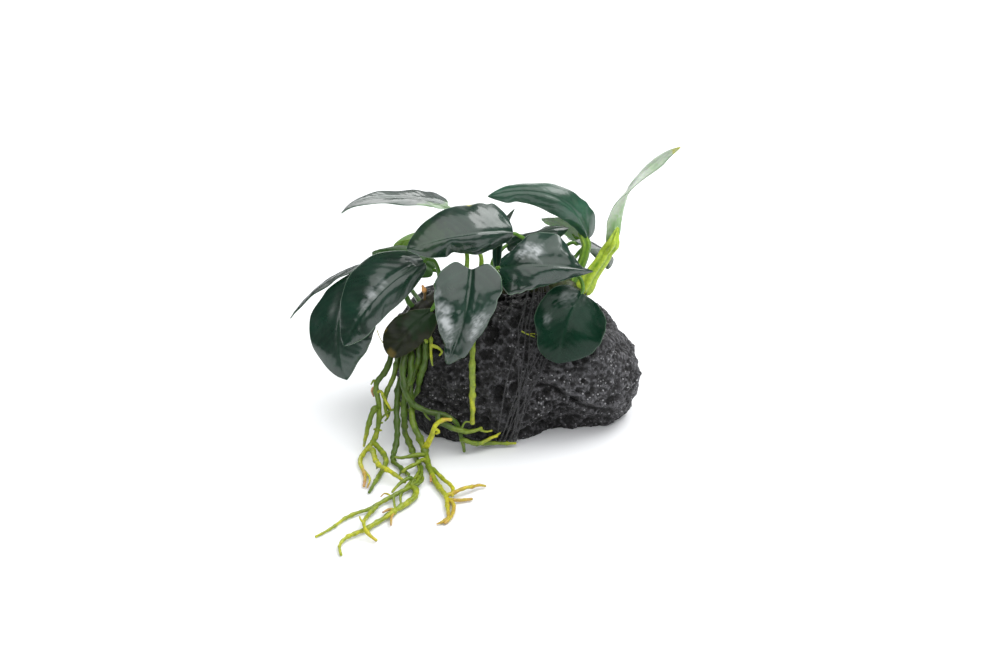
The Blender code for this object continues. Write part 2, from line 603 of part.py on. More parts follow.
def bent_line(start, end, axis, leaf):
    """A stem's line that climbs first and then follows the blade's own line."""
    reach = np.linalg.norm(end - start)
    climb = start + np.array((0, 0, 1.0)) * reach * leaf.stem_rise
    follow = end - axis * reach * leaf.stem_run
    share = np.linspace(0, 1, 40)[:, None]
    return ((1 - share)**3 * start + 3 * (1 - share)**2 * share * climb
            + 3 * (1 - share) * share**2 * follow + share**3 * end)


def root_strand(name, root):
    """A root, with a narrow neck where it leaves its parent."""
    points = smooth_curve(root.route, FINE_STEP)
    run = np.arange(len(points)) * FINE_STEP
    taper = root.radius + (root.tip_radius - root.radius) * (run / run[-1])**2
    neck = np.minimum(1, NECK / root.radius + run / NECK_LENGTH)
    return Strand(name, root.parent, points, taper * neck, False)


def hold_start(strand, line, radii):
    """Keep a strand's first point beside the nearest point of its parent's line."""
    distances = np.linalg.norm(line - strand.points[0], axis=1)
    nearest = int(np.argmin(distances))
    away = unit(strand.points[2] - line[nearest])
    strand.points[0] = line[nearest] + away * (radii[nearest] + strand.radii[0] + GAP)


def pushes(points, others, wanted):
    """Mean move that takes each point its wanted distance away from the others."""
    apart = ((points**2).sum(1)[:, None] + (others**2).sum(1)[None]
             - 2 * points @ others.T)
    moved, near = np.nonzero(apart < wanted * np.abs(wanted))
    offsets = points[moved] - others[near]
    distances = np.maximum(np.linalg.norm(offsets, axis=1), 0.01)[:, None]
    lacking = wanted[moved, near][:, None] - distances
    moves = np.zeros_like(points)
    counts = np.ones((len(points), 1))
    np.add.at(moves, moved, offsets / distances * lacking)
    np.add.at(counts, moved, 1)
    return moves / counts


def wanted_distances(strands, radii):
    """Distance wanted between the points of two strands, and -1 within one strand."""
    names = [strand.name for strand in strands]
    bounds = np.cumsum([0] + [len(strand.radii) for strand in strands])
    wanted = radii[:, None] + radii[None] + CLEARANCE
    for index, strand in enumerate(strands):
        own = slice(bounds[index], bounds[index + 1])
        wanted[own, own] = -1
        if strand.parent in names:
            fork = slice(bounds[index], bounds[index] + FORK_POINTS)
            parent = names.index(strand.parent)
            beside = slice(bounds[parent], bounds[parent + 1])
            wanted[fork, beside] -= CLEARANCE - GAP / 2
            wanted[beside, fork] -= CLEARANCE - GAP / 2
    return wanted


def settle(strands, blade_points, blade_owners):
    """Move the strands' points until they clear each other, the stone and the blades."""
    body = rhizome_line()
    lines = {strand.name: strand for strand in strands}
    radii = np.concatenate([strand.radii for strand in strands])
    bounds = np.cumsum([0] + [len(strand.radii) for strand in strands])
    to_strands = wanted_distances(strands, radii)
    to_body = np.repeat(radii[:, None] + RHIZOME_RADIUS + GAP, len(body), axis=1)
    to_blades = np.repeat(radii[:, None] + BLADE_REACH, len(blade_points), axis=1)
    for index, strand in enumerate(strands):
        own = slice(bounds[index], bounds[index + 1])
        to_blades[own, blade_owners == strand.name] = -1
    for _ in range(SETTLE_ROUNDS):
        points = np.vstack([strand.points for strand in strands])
        points += pushes(points, points, to_strands)
        points += pushes(points, blade_points, to_blades)
        points += VIEWER * np.maximum(radii + CLEARANCE - stone_distance(points), 0)[:, None]
        points += pushes(points, body, to_body)
        points[:, 2] = np.maximum(points[:, 2], radii + 0.05)
        for strand, fresh in zip(strands, np.split(points, bounds[1:-1])):
            fresh[1:-1] += 0.12 * (fresh[:-2] + fresh[2:] - 2 * fresh[1:-1])
            fresh += 0.06 * (strand.home - fresh)
            if strand.held_end:
                fresh[-1] = strand.home[-1]
            strand.points = fresh
        for strand in strands:
            parent = lines.get(strand.parent)
            if parent:
                hold_start(strand, parent.points, parent.radii)
            else:
                hold_start(strand, body, np.full(len(body), RHIZOME_RADIUS))


def build_strand(strand, name, sides, ring_distance, finish):
    """The body of a settled stem or root."""
    stride = max(1, round(ring_distance / FINE_STEP))
    keep = np.unique(np.append(np.arange(0, len(strand.points), stride),
                               len(strand.points) - 1))
    if len(keep) > 2 and keep[-1] - keep[-2] < stride // 2 + 1:
        keep = np.delete(keep, -2)
    return tube(name, strand.points[keep], strand.radii[keep], sides, finish)


# ---------------------------------------------------------------- thread
def fan_place(angles):
    """Place along X and turn distance of the thread's bundle at angles round the stone."""
    at, middles, distances = np.array(THREAD_FAN, float).T
    wrapped = np.mod(angles, 360)
    return np.interp(wrapped, at, middles), np.interp(wrapped, at, distances)


def section_outline(places, angles):
    """Distance from the stone's long axis to its skin at places along X and angles."""
    near = np.zeros(len(places))
    far = np.full(len(places), 2.0 * STONE_HALF_SIZE[0])
    middle = np.array(STONE_MIDDLE)
    spokes = np.stack((np.zeros(len(angles)), -np.sin(angles), -np.cos(angles)), axis=1)
    starts = np.stack((places, np.full(len(places), middle[1]),
                       np.full(len(places), middle[2])), axis=1)
    for _ in range(12):
        half = (near + far) / 2
        outside = stone_distance(starts + spokes * half[:, None]) > 0
        far = np.where(outside, half, far)
        near = np.where(outside, near, half)
    return (near + far) / 2


def band_radius(places, angles):
    """Distance from the stone's long axis to a tight band's line at those places."""
    spokes = np.radians(np.arange(0, 360, 5.0))
    count = len(spokes)
    skin = section_outline(np.repeat(places, count), np.tile(spokes, len(places)))
    skin = skin.reshape(len(places), count)
    reach = (skin[:, None] * np.cos(spokes[:, None] - spokes[None])[None]).max(axis=2)
    body = rhizome_line()
    across = [np.interp(places, body[:, 0], body[:, axis]) for axis in (1, 2)]
    rise = STONE_MIDDLE[2] - across[1]
    over = (rise[:, None] * np.cos(spokes) - across[0][:, None] * np.sin(spokes)
            + RHIZOME_RADIUS)
    support = np.maximum(reach, over) + THREAD_CLEARANCE + THREAD_RADIUS
    under = ((STONE_MIDDLE[2] - THREAD_FOOT) * np.cos(spokes)
             + THREAD_FOOT_REACH * np.abs(np.sin(spokes)))
    support = np.where(np.cos(spokes) > 0, np.maximum(support, under), support)
    facing = np.cos(angles[:, None] - spokes[None])
    return np.where(facing > 0.2, support / np.maximum(facing, 0.2), np.inf).min(axis=1)


def thread_line():
    """The thread's line, tight round the stone and the rhizome."""
    turns = np.linspace(0, THREAD_TURNS, THREAD_TURNS * THREAD_POINTS + 1)
    middles, distances = fan_place(turns * 360)
    places = middles + (turns - THREAD_TURNS / 2) * distances
    angles = turns * 2 * np.pi
    radius = band_radius(places, angles)
    line = np.stack((places, -np.sin(angles) * radius,
                     STONE_MIDDLE[2] - np.cos(angles) * radius), axis=1)
    line[:, 2] = np.maximum(line[:, 2], THREAD_FOOT)
    return evenly_spaced(line, THREAD_RING_DISTANCE)


def build_thread():
    """The thread that ties the plant on, one line wound several times round."""
    line = thread_line()
    radii = np.full(len(line), THREAD_RADIUS)
    return tube("thread", line, radii, THREAD_SIDES, "thread")


# ---------------------------------------------------------------- the whole plant
def leaf_finish(name):
    """Finish of a leaf's blade."""
    if name == "old":
        return "blade_old"
    return "blade_pale" if name in PALE_LEAVES else "blade"


def build_leaves_and_roots():
    """All blades, and the stems and roots settled round them."""
    along = np.linspace(0, 1, 13)
    across = np.linspace(-1, 1, 7)
    samples, owners = [], []
    for name, leaf in LEAVES.items():
        build_blade(f"leaf_{name}", leaf, leaf_finish(name))
        surface = blade_surface(leaf, along, across)[0].reshape(-1, 3)
        samples.append(surface)
        owners += [f"stem_{name}"] * len(surface)
    build_blade("leaf_bud", BUD, "blade")
    strands = [stem_strand(f"stem_{name}", leaf) for name, leaf in LEAVES.items()]
    strands += [root_strand(name, root) for name, root in ROOTS.items()]
    settle(strands, np.vstack(samples), np.array(owners))
    for strand in strands:
        if strand.held_end:
            build_strand(strand, strand.name, STEM_SIDES, STEM_RING_DISTANCE, "stem")
        else:
            finish = "root_yellow" if strand.name in YELLOW_ROOTS else "root"
            build_strand(strand, f"root_{strand.name}", ROOT_SIDES, ROOT_RING_DISTANCE,
                         finish)


def main():
    """Clear the scene and model every piece."""
    for leftover in list(bpy.data.objects):
        bpy.data.objects.remove(leftover)
    build_stone()
    build_rhizome()
    build_leaves_and_roots()
    build_thread()


main()
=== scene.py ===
"""Looks of the anubias on its lava rock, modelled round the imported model.

Lengths are in millimetres and MM turns them into metres. X runs to the right, Y away
from the front and Z up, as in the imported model.
"""
import json
import logging
import math
from dataclasses import dataclass, field
from enum import Enum
from typing import Iterable, Optional, Sequence, Union

import bmesh
import bpy
import numpy as np
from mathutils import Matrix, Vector
from mathutils.kdtree import KDTree

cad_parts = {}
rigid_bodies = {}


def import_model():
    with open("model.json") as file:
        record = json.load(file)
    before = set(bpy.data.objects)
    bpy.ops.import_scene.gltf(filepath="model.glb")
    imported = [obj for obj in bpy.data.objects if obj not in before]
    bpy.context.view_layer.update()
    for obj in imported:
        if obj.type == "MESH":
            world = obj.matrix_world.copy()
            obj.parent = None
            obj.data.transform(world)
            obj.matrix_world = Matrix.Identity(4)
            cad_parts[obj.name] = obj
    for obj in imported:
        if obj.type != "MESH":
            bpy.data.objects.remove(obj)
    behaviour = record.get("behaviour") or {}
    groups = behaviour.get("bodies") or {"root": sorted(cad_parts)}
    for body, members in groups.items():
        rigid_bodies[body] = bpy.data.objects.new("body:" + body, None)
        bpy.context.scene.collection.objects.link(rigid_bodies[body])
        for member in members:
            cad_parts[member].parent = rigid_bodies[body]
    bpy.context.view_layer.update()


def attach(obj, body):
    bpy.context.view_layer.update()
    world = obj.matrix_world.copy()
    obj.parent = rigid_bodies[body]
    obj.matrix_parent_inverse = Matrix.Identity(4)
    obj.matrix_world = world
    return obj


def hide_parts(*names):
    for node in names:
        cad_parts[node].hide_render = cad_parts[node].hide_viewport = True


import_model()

MM = 0.001
SLANT = (0.3, 0.5, 0.81)      # a direction that no line starts along
END_ANGLES = (30.0, 55.0, 76.0)   # where the rings lie that round off a bar's end
SKIN_WAVES = (7, 1.6, 6.0)    # seed, shortest and longest wave of a bar's unevenness
BODY = "root"
LOG = logging.getLogger("anubias")

Array = np.ndarray
Colour = tuple[float, float, float]
Triple = tuple[float, float, float]
Socket = bpy.types.NodeSocket
Setting = Union[Socket, float, Sequence[float]]


# ================================================================ geometry helpers
def unit(vectors: Array) -> Array:
    """Scale one vector, or rows of them, to length 1."""
    vectors = np.asarray(vectors, dtype=float)
    return vectors / np.linalg.norm(vectors, axis=-1, keepdims=True)


def ease(share: Array) -> Array:
    """Make a rise from 0 to 1 start and end level, and clip what is outside it."""
    clipped = np.clip(share, 0.0, 1.0)
    return clipped * clipped * (3.0 - 2.0 * clipped)


def blend(first: float, last: float, share: Array) -> Array:
    """Go from the first value to the last as the share goes from 0 to 1."""
    return first + (last - first) * share


def nearest(line: Array, point: Array) -> int:
    """Index of the line's point that is nearest to a point."""
    return int(np.argmin(np.linalg.norm(line - point, axis=1)))


def evenly_spaced(points: Array, step: float) -> Array:
    """Put a line's points about one step apart.

    Args:
        points: The line's points.
        step: The distance wanted between them.

    Returns:
        New points on the same line.
    """
    lengths = np.linalg.norm(np.diff(points, axis=0), axis=1)
    run = np.concatenate(([0.0], np.cumsum(lengths)))
    wanted = np.linspace(0, run[-1], max(3, round(run[-1] / step) + 1))
    return np.stack([np.interp(wanted, run, points[:, axis]) for axis in range(3)], axis=1)


def smooth_curve(route: Sequence[Triple], step: float) -> Array:
    """Draw a smooth curve through a route's points.

    Args:
        route: The points that the curve passes.
        step: The distance wanted between the curve's own points.

    Returns:
        Points on the curve.
    """
    knots = np.asarray(route, dtype=float)
    padded = np.vstack((2 * knots[0] - knots[1], knots, 2 * knots[-1] - knots[-2]))
    pieces = []
    for before, start, end, after in zip(padded, padded[1:], padded[2:], padded[3:]):
        count = max(2, round(np.linalg.norm(end - start) / step * 2))
        share = np.linspace(0, 1, count, endpoint=False)[:, None]
        pieces.append(0.5 * (2 * start + (end - before) * share
                             + (2 * before - 5 * start + 4 * end - after) * share**2
                             + (3 * start - 3 * end + after - before) * share**3))
    return evenly_spaced(np.vstack(pieces + [knots[-1:]]), step)


def frames_along(points: Array) -> tuple[Array, Array]:
    """Find two directions across a line at each of its points, with no sudden turns.

    Args:
        points: The line's points.

    Returns:
        The two sets of unit directions.
    """
    tangents = unit(np.gradient(points, axis=0))
    across = [unit(np.cross(tangents[0], SLANT))]
    for tangent in tangents[1:]:
        across.append(unit(across[-1] - tangent * np.dot(across[-1], tangent)))
    sideways = np.array(across)
    return sideways, np.cross(tangents, sideways)


def direction(azimuth: float, elevation: float) -> Array:
    """Unit direction of an azimuth from +X towards +Y and an elevation, in degrees."""
    turn, rise = math.radians(azimuth), math.radians(elevation)
    return np.array((math.cos(rise) * math.cos(turn), math.cos(rise) * math.sin(turn),
                     math.sin(rise)))


def bump(directions: Array, middle: Array, spread: float) -> Array:
    """Height along directions: 1 at the middle, about a third at the spread in degrees."""
    angle = np.degrees(np.arccos(np.clip(directions @ middle, -1, 1)))
    return np.exp(-(angle / spread)**2)


class Waves:
    """Smooth, repeatable unevenness: a sum of waves that run in many directions."""

    def __init__(self, seed: int, shortest: float, longest: float, count: int = 18) -> None:
        """Choose the waves.

        Args:
            seed: Start of the repeatable random numbers.
            shortest: Shortest wavelength.
            longest: Longest wavelength.
            count: Number of waves.
        """
        random = np.random.default_rng(seed)
        lengths = np.exp(random.uniform(math.log(shortest), math.log(longest), count))
        self.vectors = unit(random.normal(size=(count, 3))) * (2 * np.pi / lengths[:, None])
        self.shifts = random.uniform(0, 2 * np.pi, count)
        self.scale = 1.0 / math.sqrt(count)

    def at(self, points: Array) -> Array:
        """Unevenness at points, mostly between -1 and 1."""
        flat = np.asarray(points, dtype=float).reshape(-1, 3)
        total = np.zeros(len(flat))
        for vector, shift in zip(self.vectors, self.shifts):
            total += np.sin(flat @ vector + shift)
        return (total * self.scale).reshape(np.shape(points)[:-1])


# ================================================================ pieces
class Slot(Enum):
    """Material slots of the record."""

    STONE = "stone"
    THREAD = "thread"
    RHIZOME = "rhizome"
    BLADE = "blade"
    BLADE_PALE = "blade_pale"
    BLADE_OLD = "blade_old"
    STEM = "stem"
    ROOT = "root"
    ROOT_YELLOW = "root_yellow"


@dataclass
class Form:
    """Points and faces of a piece, with values that change over its surface."""

    points: Array
    faces: list[tuple[int, ...]]
    marks: dict[str, Array] = field(default_factory=dict)

    def joined(self, others: Iterable["Form"]) -> "Form":
        """Put several forms with the same marks into one.

        Args:
            others: The forms that are added to this one.

        Returns:
            One form that holds them all.
        """
        forms = [self, *others]
        starts = np.cumsum([0] + [len(form.points) for form in forms])
        faces = [tuple(int(start) + corner for corner in face)
                 for form, start in zip(forms, starts) for face in form.faces]
        marks = {name: np.concatenate([form.marks[name] for form in forms])
                 for name in self.marks}
        return Form(np.vstack([form.points for form in forms]), faces, marks)

    def volume(self) -> float:
        """Signed volume, which is positive where the faces point outwards."""
        total = 0.0
        for size in {len(face) for face in self.faces}:
            corners = self.points[np.array([face for face in self.faces if len(face) == size])]
            for index in range(1, size - 1):
                cross = np.cross(corners[:, index], corners[:, index + 1])
                total += float((corners[:, 0] * cross).sum()) / 6
        return total

    def make(self, name: str, material: bpy.types.Material, slot: Slot,
             nodes: Sequence[str] = ()) -> bpy.types.Object:
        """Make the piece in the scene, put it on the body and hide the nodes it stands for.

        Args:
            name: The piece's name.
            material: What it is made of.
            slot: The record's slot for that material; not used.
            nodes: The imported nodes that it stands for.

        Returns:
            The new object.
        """
        faces = self.faces
        if self.volume() < 0:
            faces = [face[::-1] for face in faces]
        mesh = bpy.data.meshes.new(name)
        mesh.from_pydata((self.points * MM).tolist(), [], faces)
        for mark, values in self.marks.items():
            layer = mesh.attributes.new(mark, "FLOAT", "POINT")
            layer.data.foreach_set("value", np.asarray(values, dtype=np.float32))
        mesh.shade_smooth()
        mesh.materials.append(material)
        piece = bpy.data.objects.new(name, mesh)
        bpy.context.scene.collection.objects.link(piece)
        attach(piece, BODY)
        if nodes:
            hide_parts(*nodes)
        LOG.info("%s: %d points, stands for %s", name, len(self.points),
                 ", ".join(nodes) or "no node")
        return piece


def loft(rings: Array, start: Array, end: Array) -> tuple[Array, list[tuple[int, ...]]]:
    """Skin a body through rings of points, drawn to a point at both ends.

    Args:
        rings: Rings of points, all with the same number.
        start: The point before the first ring.
        end: The point after the last ring.

    Returns:
        Points and faces.
    """
    count, per_ring = rings.shape[:2]
    points = np.vstack((rings.reshape(-1, 3), start, end))
    last = (count - 1) * per_ring
    first_pole, last_pole = len(points) - 2, len(points) - 1
    faces: list[tuple[int, ...]] = []
    for index in range(per_ring):
        beside = (index + 1) % per_ring
        faces.append((first_pole, beside, index))
        faces.append((last_pole, last + index, last + beside))
        for ring in range(0, last, per_ring):
            faces.append((ring + index, ring + beside,
                          ring + per_ring + beside, ring + per_ring + index))
    return points, faces


def rounded(line: Array, radii: Array) -> tuple[Array, Array]:
    """Lengthen a line with the shrinking rings of two round ends.

    Args:
        line: The line's points.
        radii: The radius at each of them.

    Returns:
        The longer line and its radii.
    """
    angles = np.radians(END_ANGLES)
    start = line[0] - unit(line[1] - line[0]) * radii[0] * np.sin(angles)[::-1, None]
    end = line[-1] + unit(line[-1] - line[-2]) * radii[-1] * np.sin(angles)[:, None]
    return (np.vstack((start, line, end)),
            np.concatenate((radii[0] * np.cos(angles)[::-1], radii,
                            radii[-1] * np.cos(angles))))


def tube(line: Array, radii: Array, sides: int, age: Optional[Array] = None,
         lumps: float = 0.0, ridges: int = 0, ridge_depth: float = 0.0,
         ridge_tone: float = 0.0) -> Form:
    """Round bar of changing radius along a line, with round ends.

    Args:
        line: The line's points.
        radii: The radius at each of them.
        sides: Points round each ring.
        age: A value for each point of the line that the finish reads.
        lumps: Unevenness of the skin, as a share of the radius.
        ridges: Number of ridges that run along it.
        ridge_depth: Their depth, as a share of the radius.
        ridge_tone: How much more age there is on the ridges than between them.

    Returns:
        The bar.
    """
    ages = np.zeros(len(line)) if age is None else np.asarray(age, dtype=float)
    longer, widths = rounded(line, radii)
    added = len(END_ANGLES)
    ages = np.concatenate((np.repeat(ages[0], added), ages, np.repeat(ages[-1], added)))
    across, over = frames_along(longer)
    turns = np.linspace(0, 2 * np.pi, sides, endpoint=False)
    outward = (across[:, None] * np.cos(turns)[None, :, None]
               + over[:, None] * np.sin(turns)[None, :, None])
    reach = np.repeat(widths[:, None], sides, axis=1)
    if lumps:
        skin = longer[:, None] + outward * reach[..., None]
        reach = reach * (1 + lumps * Waves(*SKIN_WAVES).at(skin))
    if ridges:
        reach = reach * (1 + ridge_depth * np.cos(ridges * turns)[None])
    rings = longer[:, None] + outward * reach[..., None]
    points, faces = loft(rings, longer[0], longer[-1])
    tones = np.repeat(ages[:, None], sides, axis=1)
    if ridges:
        tones = tones + ridge_tone * np.cos(ridges * turns)[None]
    marks = {"age": np.concatenate((tones.ravel(), ages[:1], ages[-1:]))}
    return Form(points, faces, marks)


# ================================================================ shader helpers
class Graph:
    """Adds nodes to one node tree and joins them."""

    def __init__(self, tree: bpy.types.NodeTree) -> None:
        """Work on a node tree."""
        self.tree = tree

    def add(self, kind: str, inputs: Optional[dict[str, Setting]] = None,
            **settings: object) -> bpy.types.Node:
        """Add a node.

        Args:
            kind: Its type.
            inputs: Values or sockets for its inputs, by name.
            settings: Values for its own properties.

        Returns:
            The node.
        """
        node = self.tree.nodes.new(kind)
        for name, value in settings.items():
            setattr(node, name, value)
        for name, value in (inputs or {}).items():
            self.feed(node.inputs[name], value)
        return node

    def feed(self, socket: Socket, value: Setting) -> None:
        """Join a socket to another one, or set its value."""
        if isinstance(value, bpy.types.NodeSocket):
            self.tree.links.new(value, socket)
        else:
            socket.default_value = value

    def mark(self, name: str) -> Socket:
        """Value that the mesh holds at each point under that name."""
        return self.add("ShaderNodeAttribute", attribute_name=name).outputs["Fac"]

    def sum(self, kind: str, first: Setting, second: Setting, clamp: bool = False) -> Socket:
        """Reckon with two numbers.

        Args:
            kind: The sum, such as ADD or MULTIPLY.
            first: The first number.
            second: The second number.
            clamp: Keep the result between 0 and 1.

        Returns:
            The result.
        """
        node = self.add("ShaderNodeMath", operation=kind, use_clamp=clamp)
        self.feed(node.inputs[0], first)
        self.feed(node.inputs[1], second)
        return node.outputs[0]

    def times(self, first: Setting, second: Setting) -> Socket:
        """Multiply two numbers."""
        return self.sum("MULTIPLY", first, second)

    def spread(self, value: Setting, low: float, high: float, to_low: float = 0.0,
               to_high: float = 1.0) -> Socket:
        """Stretch a range of values to another range, and clip what is outside.

        Args:
            value: The value.
            low: Start of its range.
            high: End of its range.
            to_low: Result at the start.
            to_high: Result at the end.

        Returns:
            The stretched value.
        """
        node = self.add("ShaderNodeMapRange", {
            "Value": value, "From Min": low, "From Max": high, "To Min": to_low,
            "To Max": to_high}, clamp=True)
        return node.outputs["Result"]

    def mix(self, share: Setting, first: Setting, second: Setting) -> Socket:
        """Mix two colours.

        Args:
            share: How much of the second there is.
            first: The first colour.
            second: The second colour.

        Returns:
            The mixed colour.
        """
        node = self.add("ShaderNodeMix", data_type="RGBA")
        self.feed(node.inputs[0], share)
        for index, value in ((6, first), (7, second)):
            if not isinstance(value, bpy.types.NodeSocket):
                value = (*value, 1.0)
            self.feed(node.inputs[index], value)
        return node.outputs[2]

    def mix_number(self, share: Setting, first: Setting, second: Setting) -> Socket:
        """Mix two numbers.

        Args:
            share: How much of the second there is.
            first: The first number.
            second: The second number.

        Returns:
            The mixed number.
        """
        node = self.add("ShaderNodeMix", data_type="FLOAT")
        for index, value in enumerate((share, first, second)):
            self.feed(node.inputs[(0, 2, 3)[index]], value)
        return node.outputs[0]

    def ramp(self, value: Setting, stops: Sequence[tuple[float, Colour]]) -> Socket:
        """Turn a value into a colour.

        Args:
            value: The value, from 0 to 1.
            stops: Places along that range and their colours.

        Returns:
            The colour.
        """
        node = self.add("ShaderNodeValToRGB", {"Fac": value})
        points = node.color_ramp.elements
        while len(points) < len(stops):
            points.new(0.5)
        for point, (place, colour) in zip(points, stops):
            point.position = place
            point.color = (*colour, 1.0)
        return node.outputs["Color"]

    def relief(self, height: Setting, strength: float, depth: float,
               normal: Optional[Socket] = None) -> Socket:
        """Bend the surface's normal by a height.

        Args:
            height: The height, from 0 to 1.
            strength: How much of it shows.
            depth: What a height of 1 is, in millimetres.
            normal: A normal that is bent already.

        Returns:
            The bent normal.
        """
        node = self.add("ShaderNodeBump", {"Height": height, "Strength": strength,
                                           "Distance": depth * MM})
        if normal is not None:
            self.feed(node.inputs["Normal"], normal)
        return node.outputs["Normal"]


class Effect(Enum):
    """Effects that more than one finish uses."""

    MOTTLE = "mottle"
    RELIEF = "fine_relief"
    SPECKS = "specks"


class Effects:
    """Makes each effect's node group once and places it in materials."""

    def __init__(self) -> None:
        """Start with no group made."""
        self.groups: dict[Effect, bpy.types.NodeTree] = {}
        self.makers = {Effect.MOTTLE: self.make_mottle, Effect.RELIEF: self.make_relief,
                       Effect.SPECKS: self.make_specks}

    def group(self, effect: Effect) -> bpy.types.NodeTree:
        """Give an effect's group, made when first asked for."""
        if effect not in self.groups:
            self.groups[effect] = self.makers[effect](effect)
        return self.groups[effect]

    def place(self, graph: Graph, effect: Effect, **values: Setting) -> Socket:
        """Put an effect into a material.

        Args:
            graph: The material's nodes.
            effect: Which effect.
            values: Values for its inputs, by name.

        Returns:
            Its output.
        """
        node = graph.add("ShaderNodeGroup", node_tree=self.group(effect))
        for name, value in values.items():
            graph.feed(node.inputs[name], value)
        return node.outputs[0]

    @staticmethod
    def start(effect: Effect, inputs: dict[str, float], output: str) -> tuple[
            Graph, bpy.types.Node, Socket]:
        """Begin a group.

        Args:
            effect: The effect that it makes.
            inputs: Names and first values of its inputs.
            output: Name of its output.

        Returns:
            Its graph, the node that holds its inputs and the socket of its output.
        """
        tree = bpy.data.node_groups.new(effect.value, "ShaderNodeTree")
        for name, value in inputs.items():
            socket = tree.interface.new_socket(name, in_out="INPUT",
                                               socket_type="NodeSocketFloat")
            socket.default_value = value
        tree.interface.new_socket(output, in_out="OUTPUT", socket_type="NodeSocketFloat")
        graph = Graph(tree)
        given = graph.add("NodeGroupInput")
        result = graph.add("NodeGroupOutput")
        return graph, given, result.inputs[output]

    def make_mottle(self, effect: Effect) -> bpy.types.NodeTree:
        """Make soft patches: Scale a metre, Detail, and the Low and High that they span."""
        graph, given, result = self.start(
            effect, {"Scale": 200.0, "Detail": 3.0, "Low": 0.35, "High": 0.65}, "Mask")
        place = graph.add("ShaderNodeTexCoord").outputs["Object"]
        noise = graph.add("ShaderNodeTexNoise", {
            "Vector": place, "Scale": given.outputs["Scale"],
            "Detail": given.outputs["Detail"]})
        patch = graph.add("ShaderNodeMapRange", {
            "Value": noise.outputs["Fac"], "From Min": given.outputs["Low"],
            "From Max": given.outputs["High"]}, clamp=True)
        graph.feed(result, patch.outputs["Result"])
        return graph.tree

    def make_relief(self, effect: Effect) -> bpy.types.NodeTree:
        """Make a fine skin: cells of one Scale, with Grain of noise at a finer one."""
        graph, given, result = self.start(effect, {"Scale": 900.0, "Grain": 0.5}, "Height")
        place = graph.add("ShaderNodeTexCoord").outputs["Object"]
        cells = graph.add("ShaderNodeTexVoronoi", {
            "Vector": place, "Scale": given.outputs["Scale"], "Smoothness": 0.8},
            feature="SMOOTH_F1")
        finer = graph.times(given.outputs["Scale"], 2.3)
        noise = graph.add("ShaderNodeTexNoise", {
            "Vector": place, "Scale": finer, "Detail": 4.0})
        grain = graph.times(noise.outputs["Fac"], given.outputs["Grain"])
        graph.feed(result, graph.sum("ADD", cells.outputs["Distance"], grain))
        return graph.tree

    def make_specks(self, effect: Effect) -> bpy.types.NodeTree:
        """Make small bright grains: Scale a metre, their Size and their Share of cells."""
        graph, given, result = self.start(
            effect, {"Scale": 900.0, "Size": 0.25, "Share": 0.2}, "Mask")
        place = graph.add("ShaderNodeTexCoord").outputs["Object"]
        cells = graph.add("ShaderNodeTexVoronoi", {
            "Vector": place, "Scale": given.outputs["Scale"]})
        near = graph.sum("LESS_THAN", cells.outputs["Distance"], given.outputs["Size"])
        chance = graph.add("ShaderNodeSeparateColor", {"Color": cells.outputs["Color"]})
        chosen = graph.sum("LESS_THAN", chance.outputs["Red"], given.outputs["Share"])
        graph.feed(result, graph.times(near, chosen))
        return graph.tree


class Finish:
    """Common start of every material."""

    def start(self, name: str, values: dict[str, Setting]) -> tuple[
            bpy.types.Material, Graph, bpy.types.Node]:
        """Begin a material with one shader.

        Args:
            name: The material's name.
            values: Values that are the same all over the surface, by socket name.

        Returns:
            The material, its graph and its shader.
        """
        material = bpy.data.materials.new(name)
        material.use_nodes = True
        graph = Graph(material.node_tree)
        shader = material.node_tree.nodes["Principled BSDF"]
        for socket, value in values.items():
            shader.inputs[socket].default_value = value
        return material, graph, shader


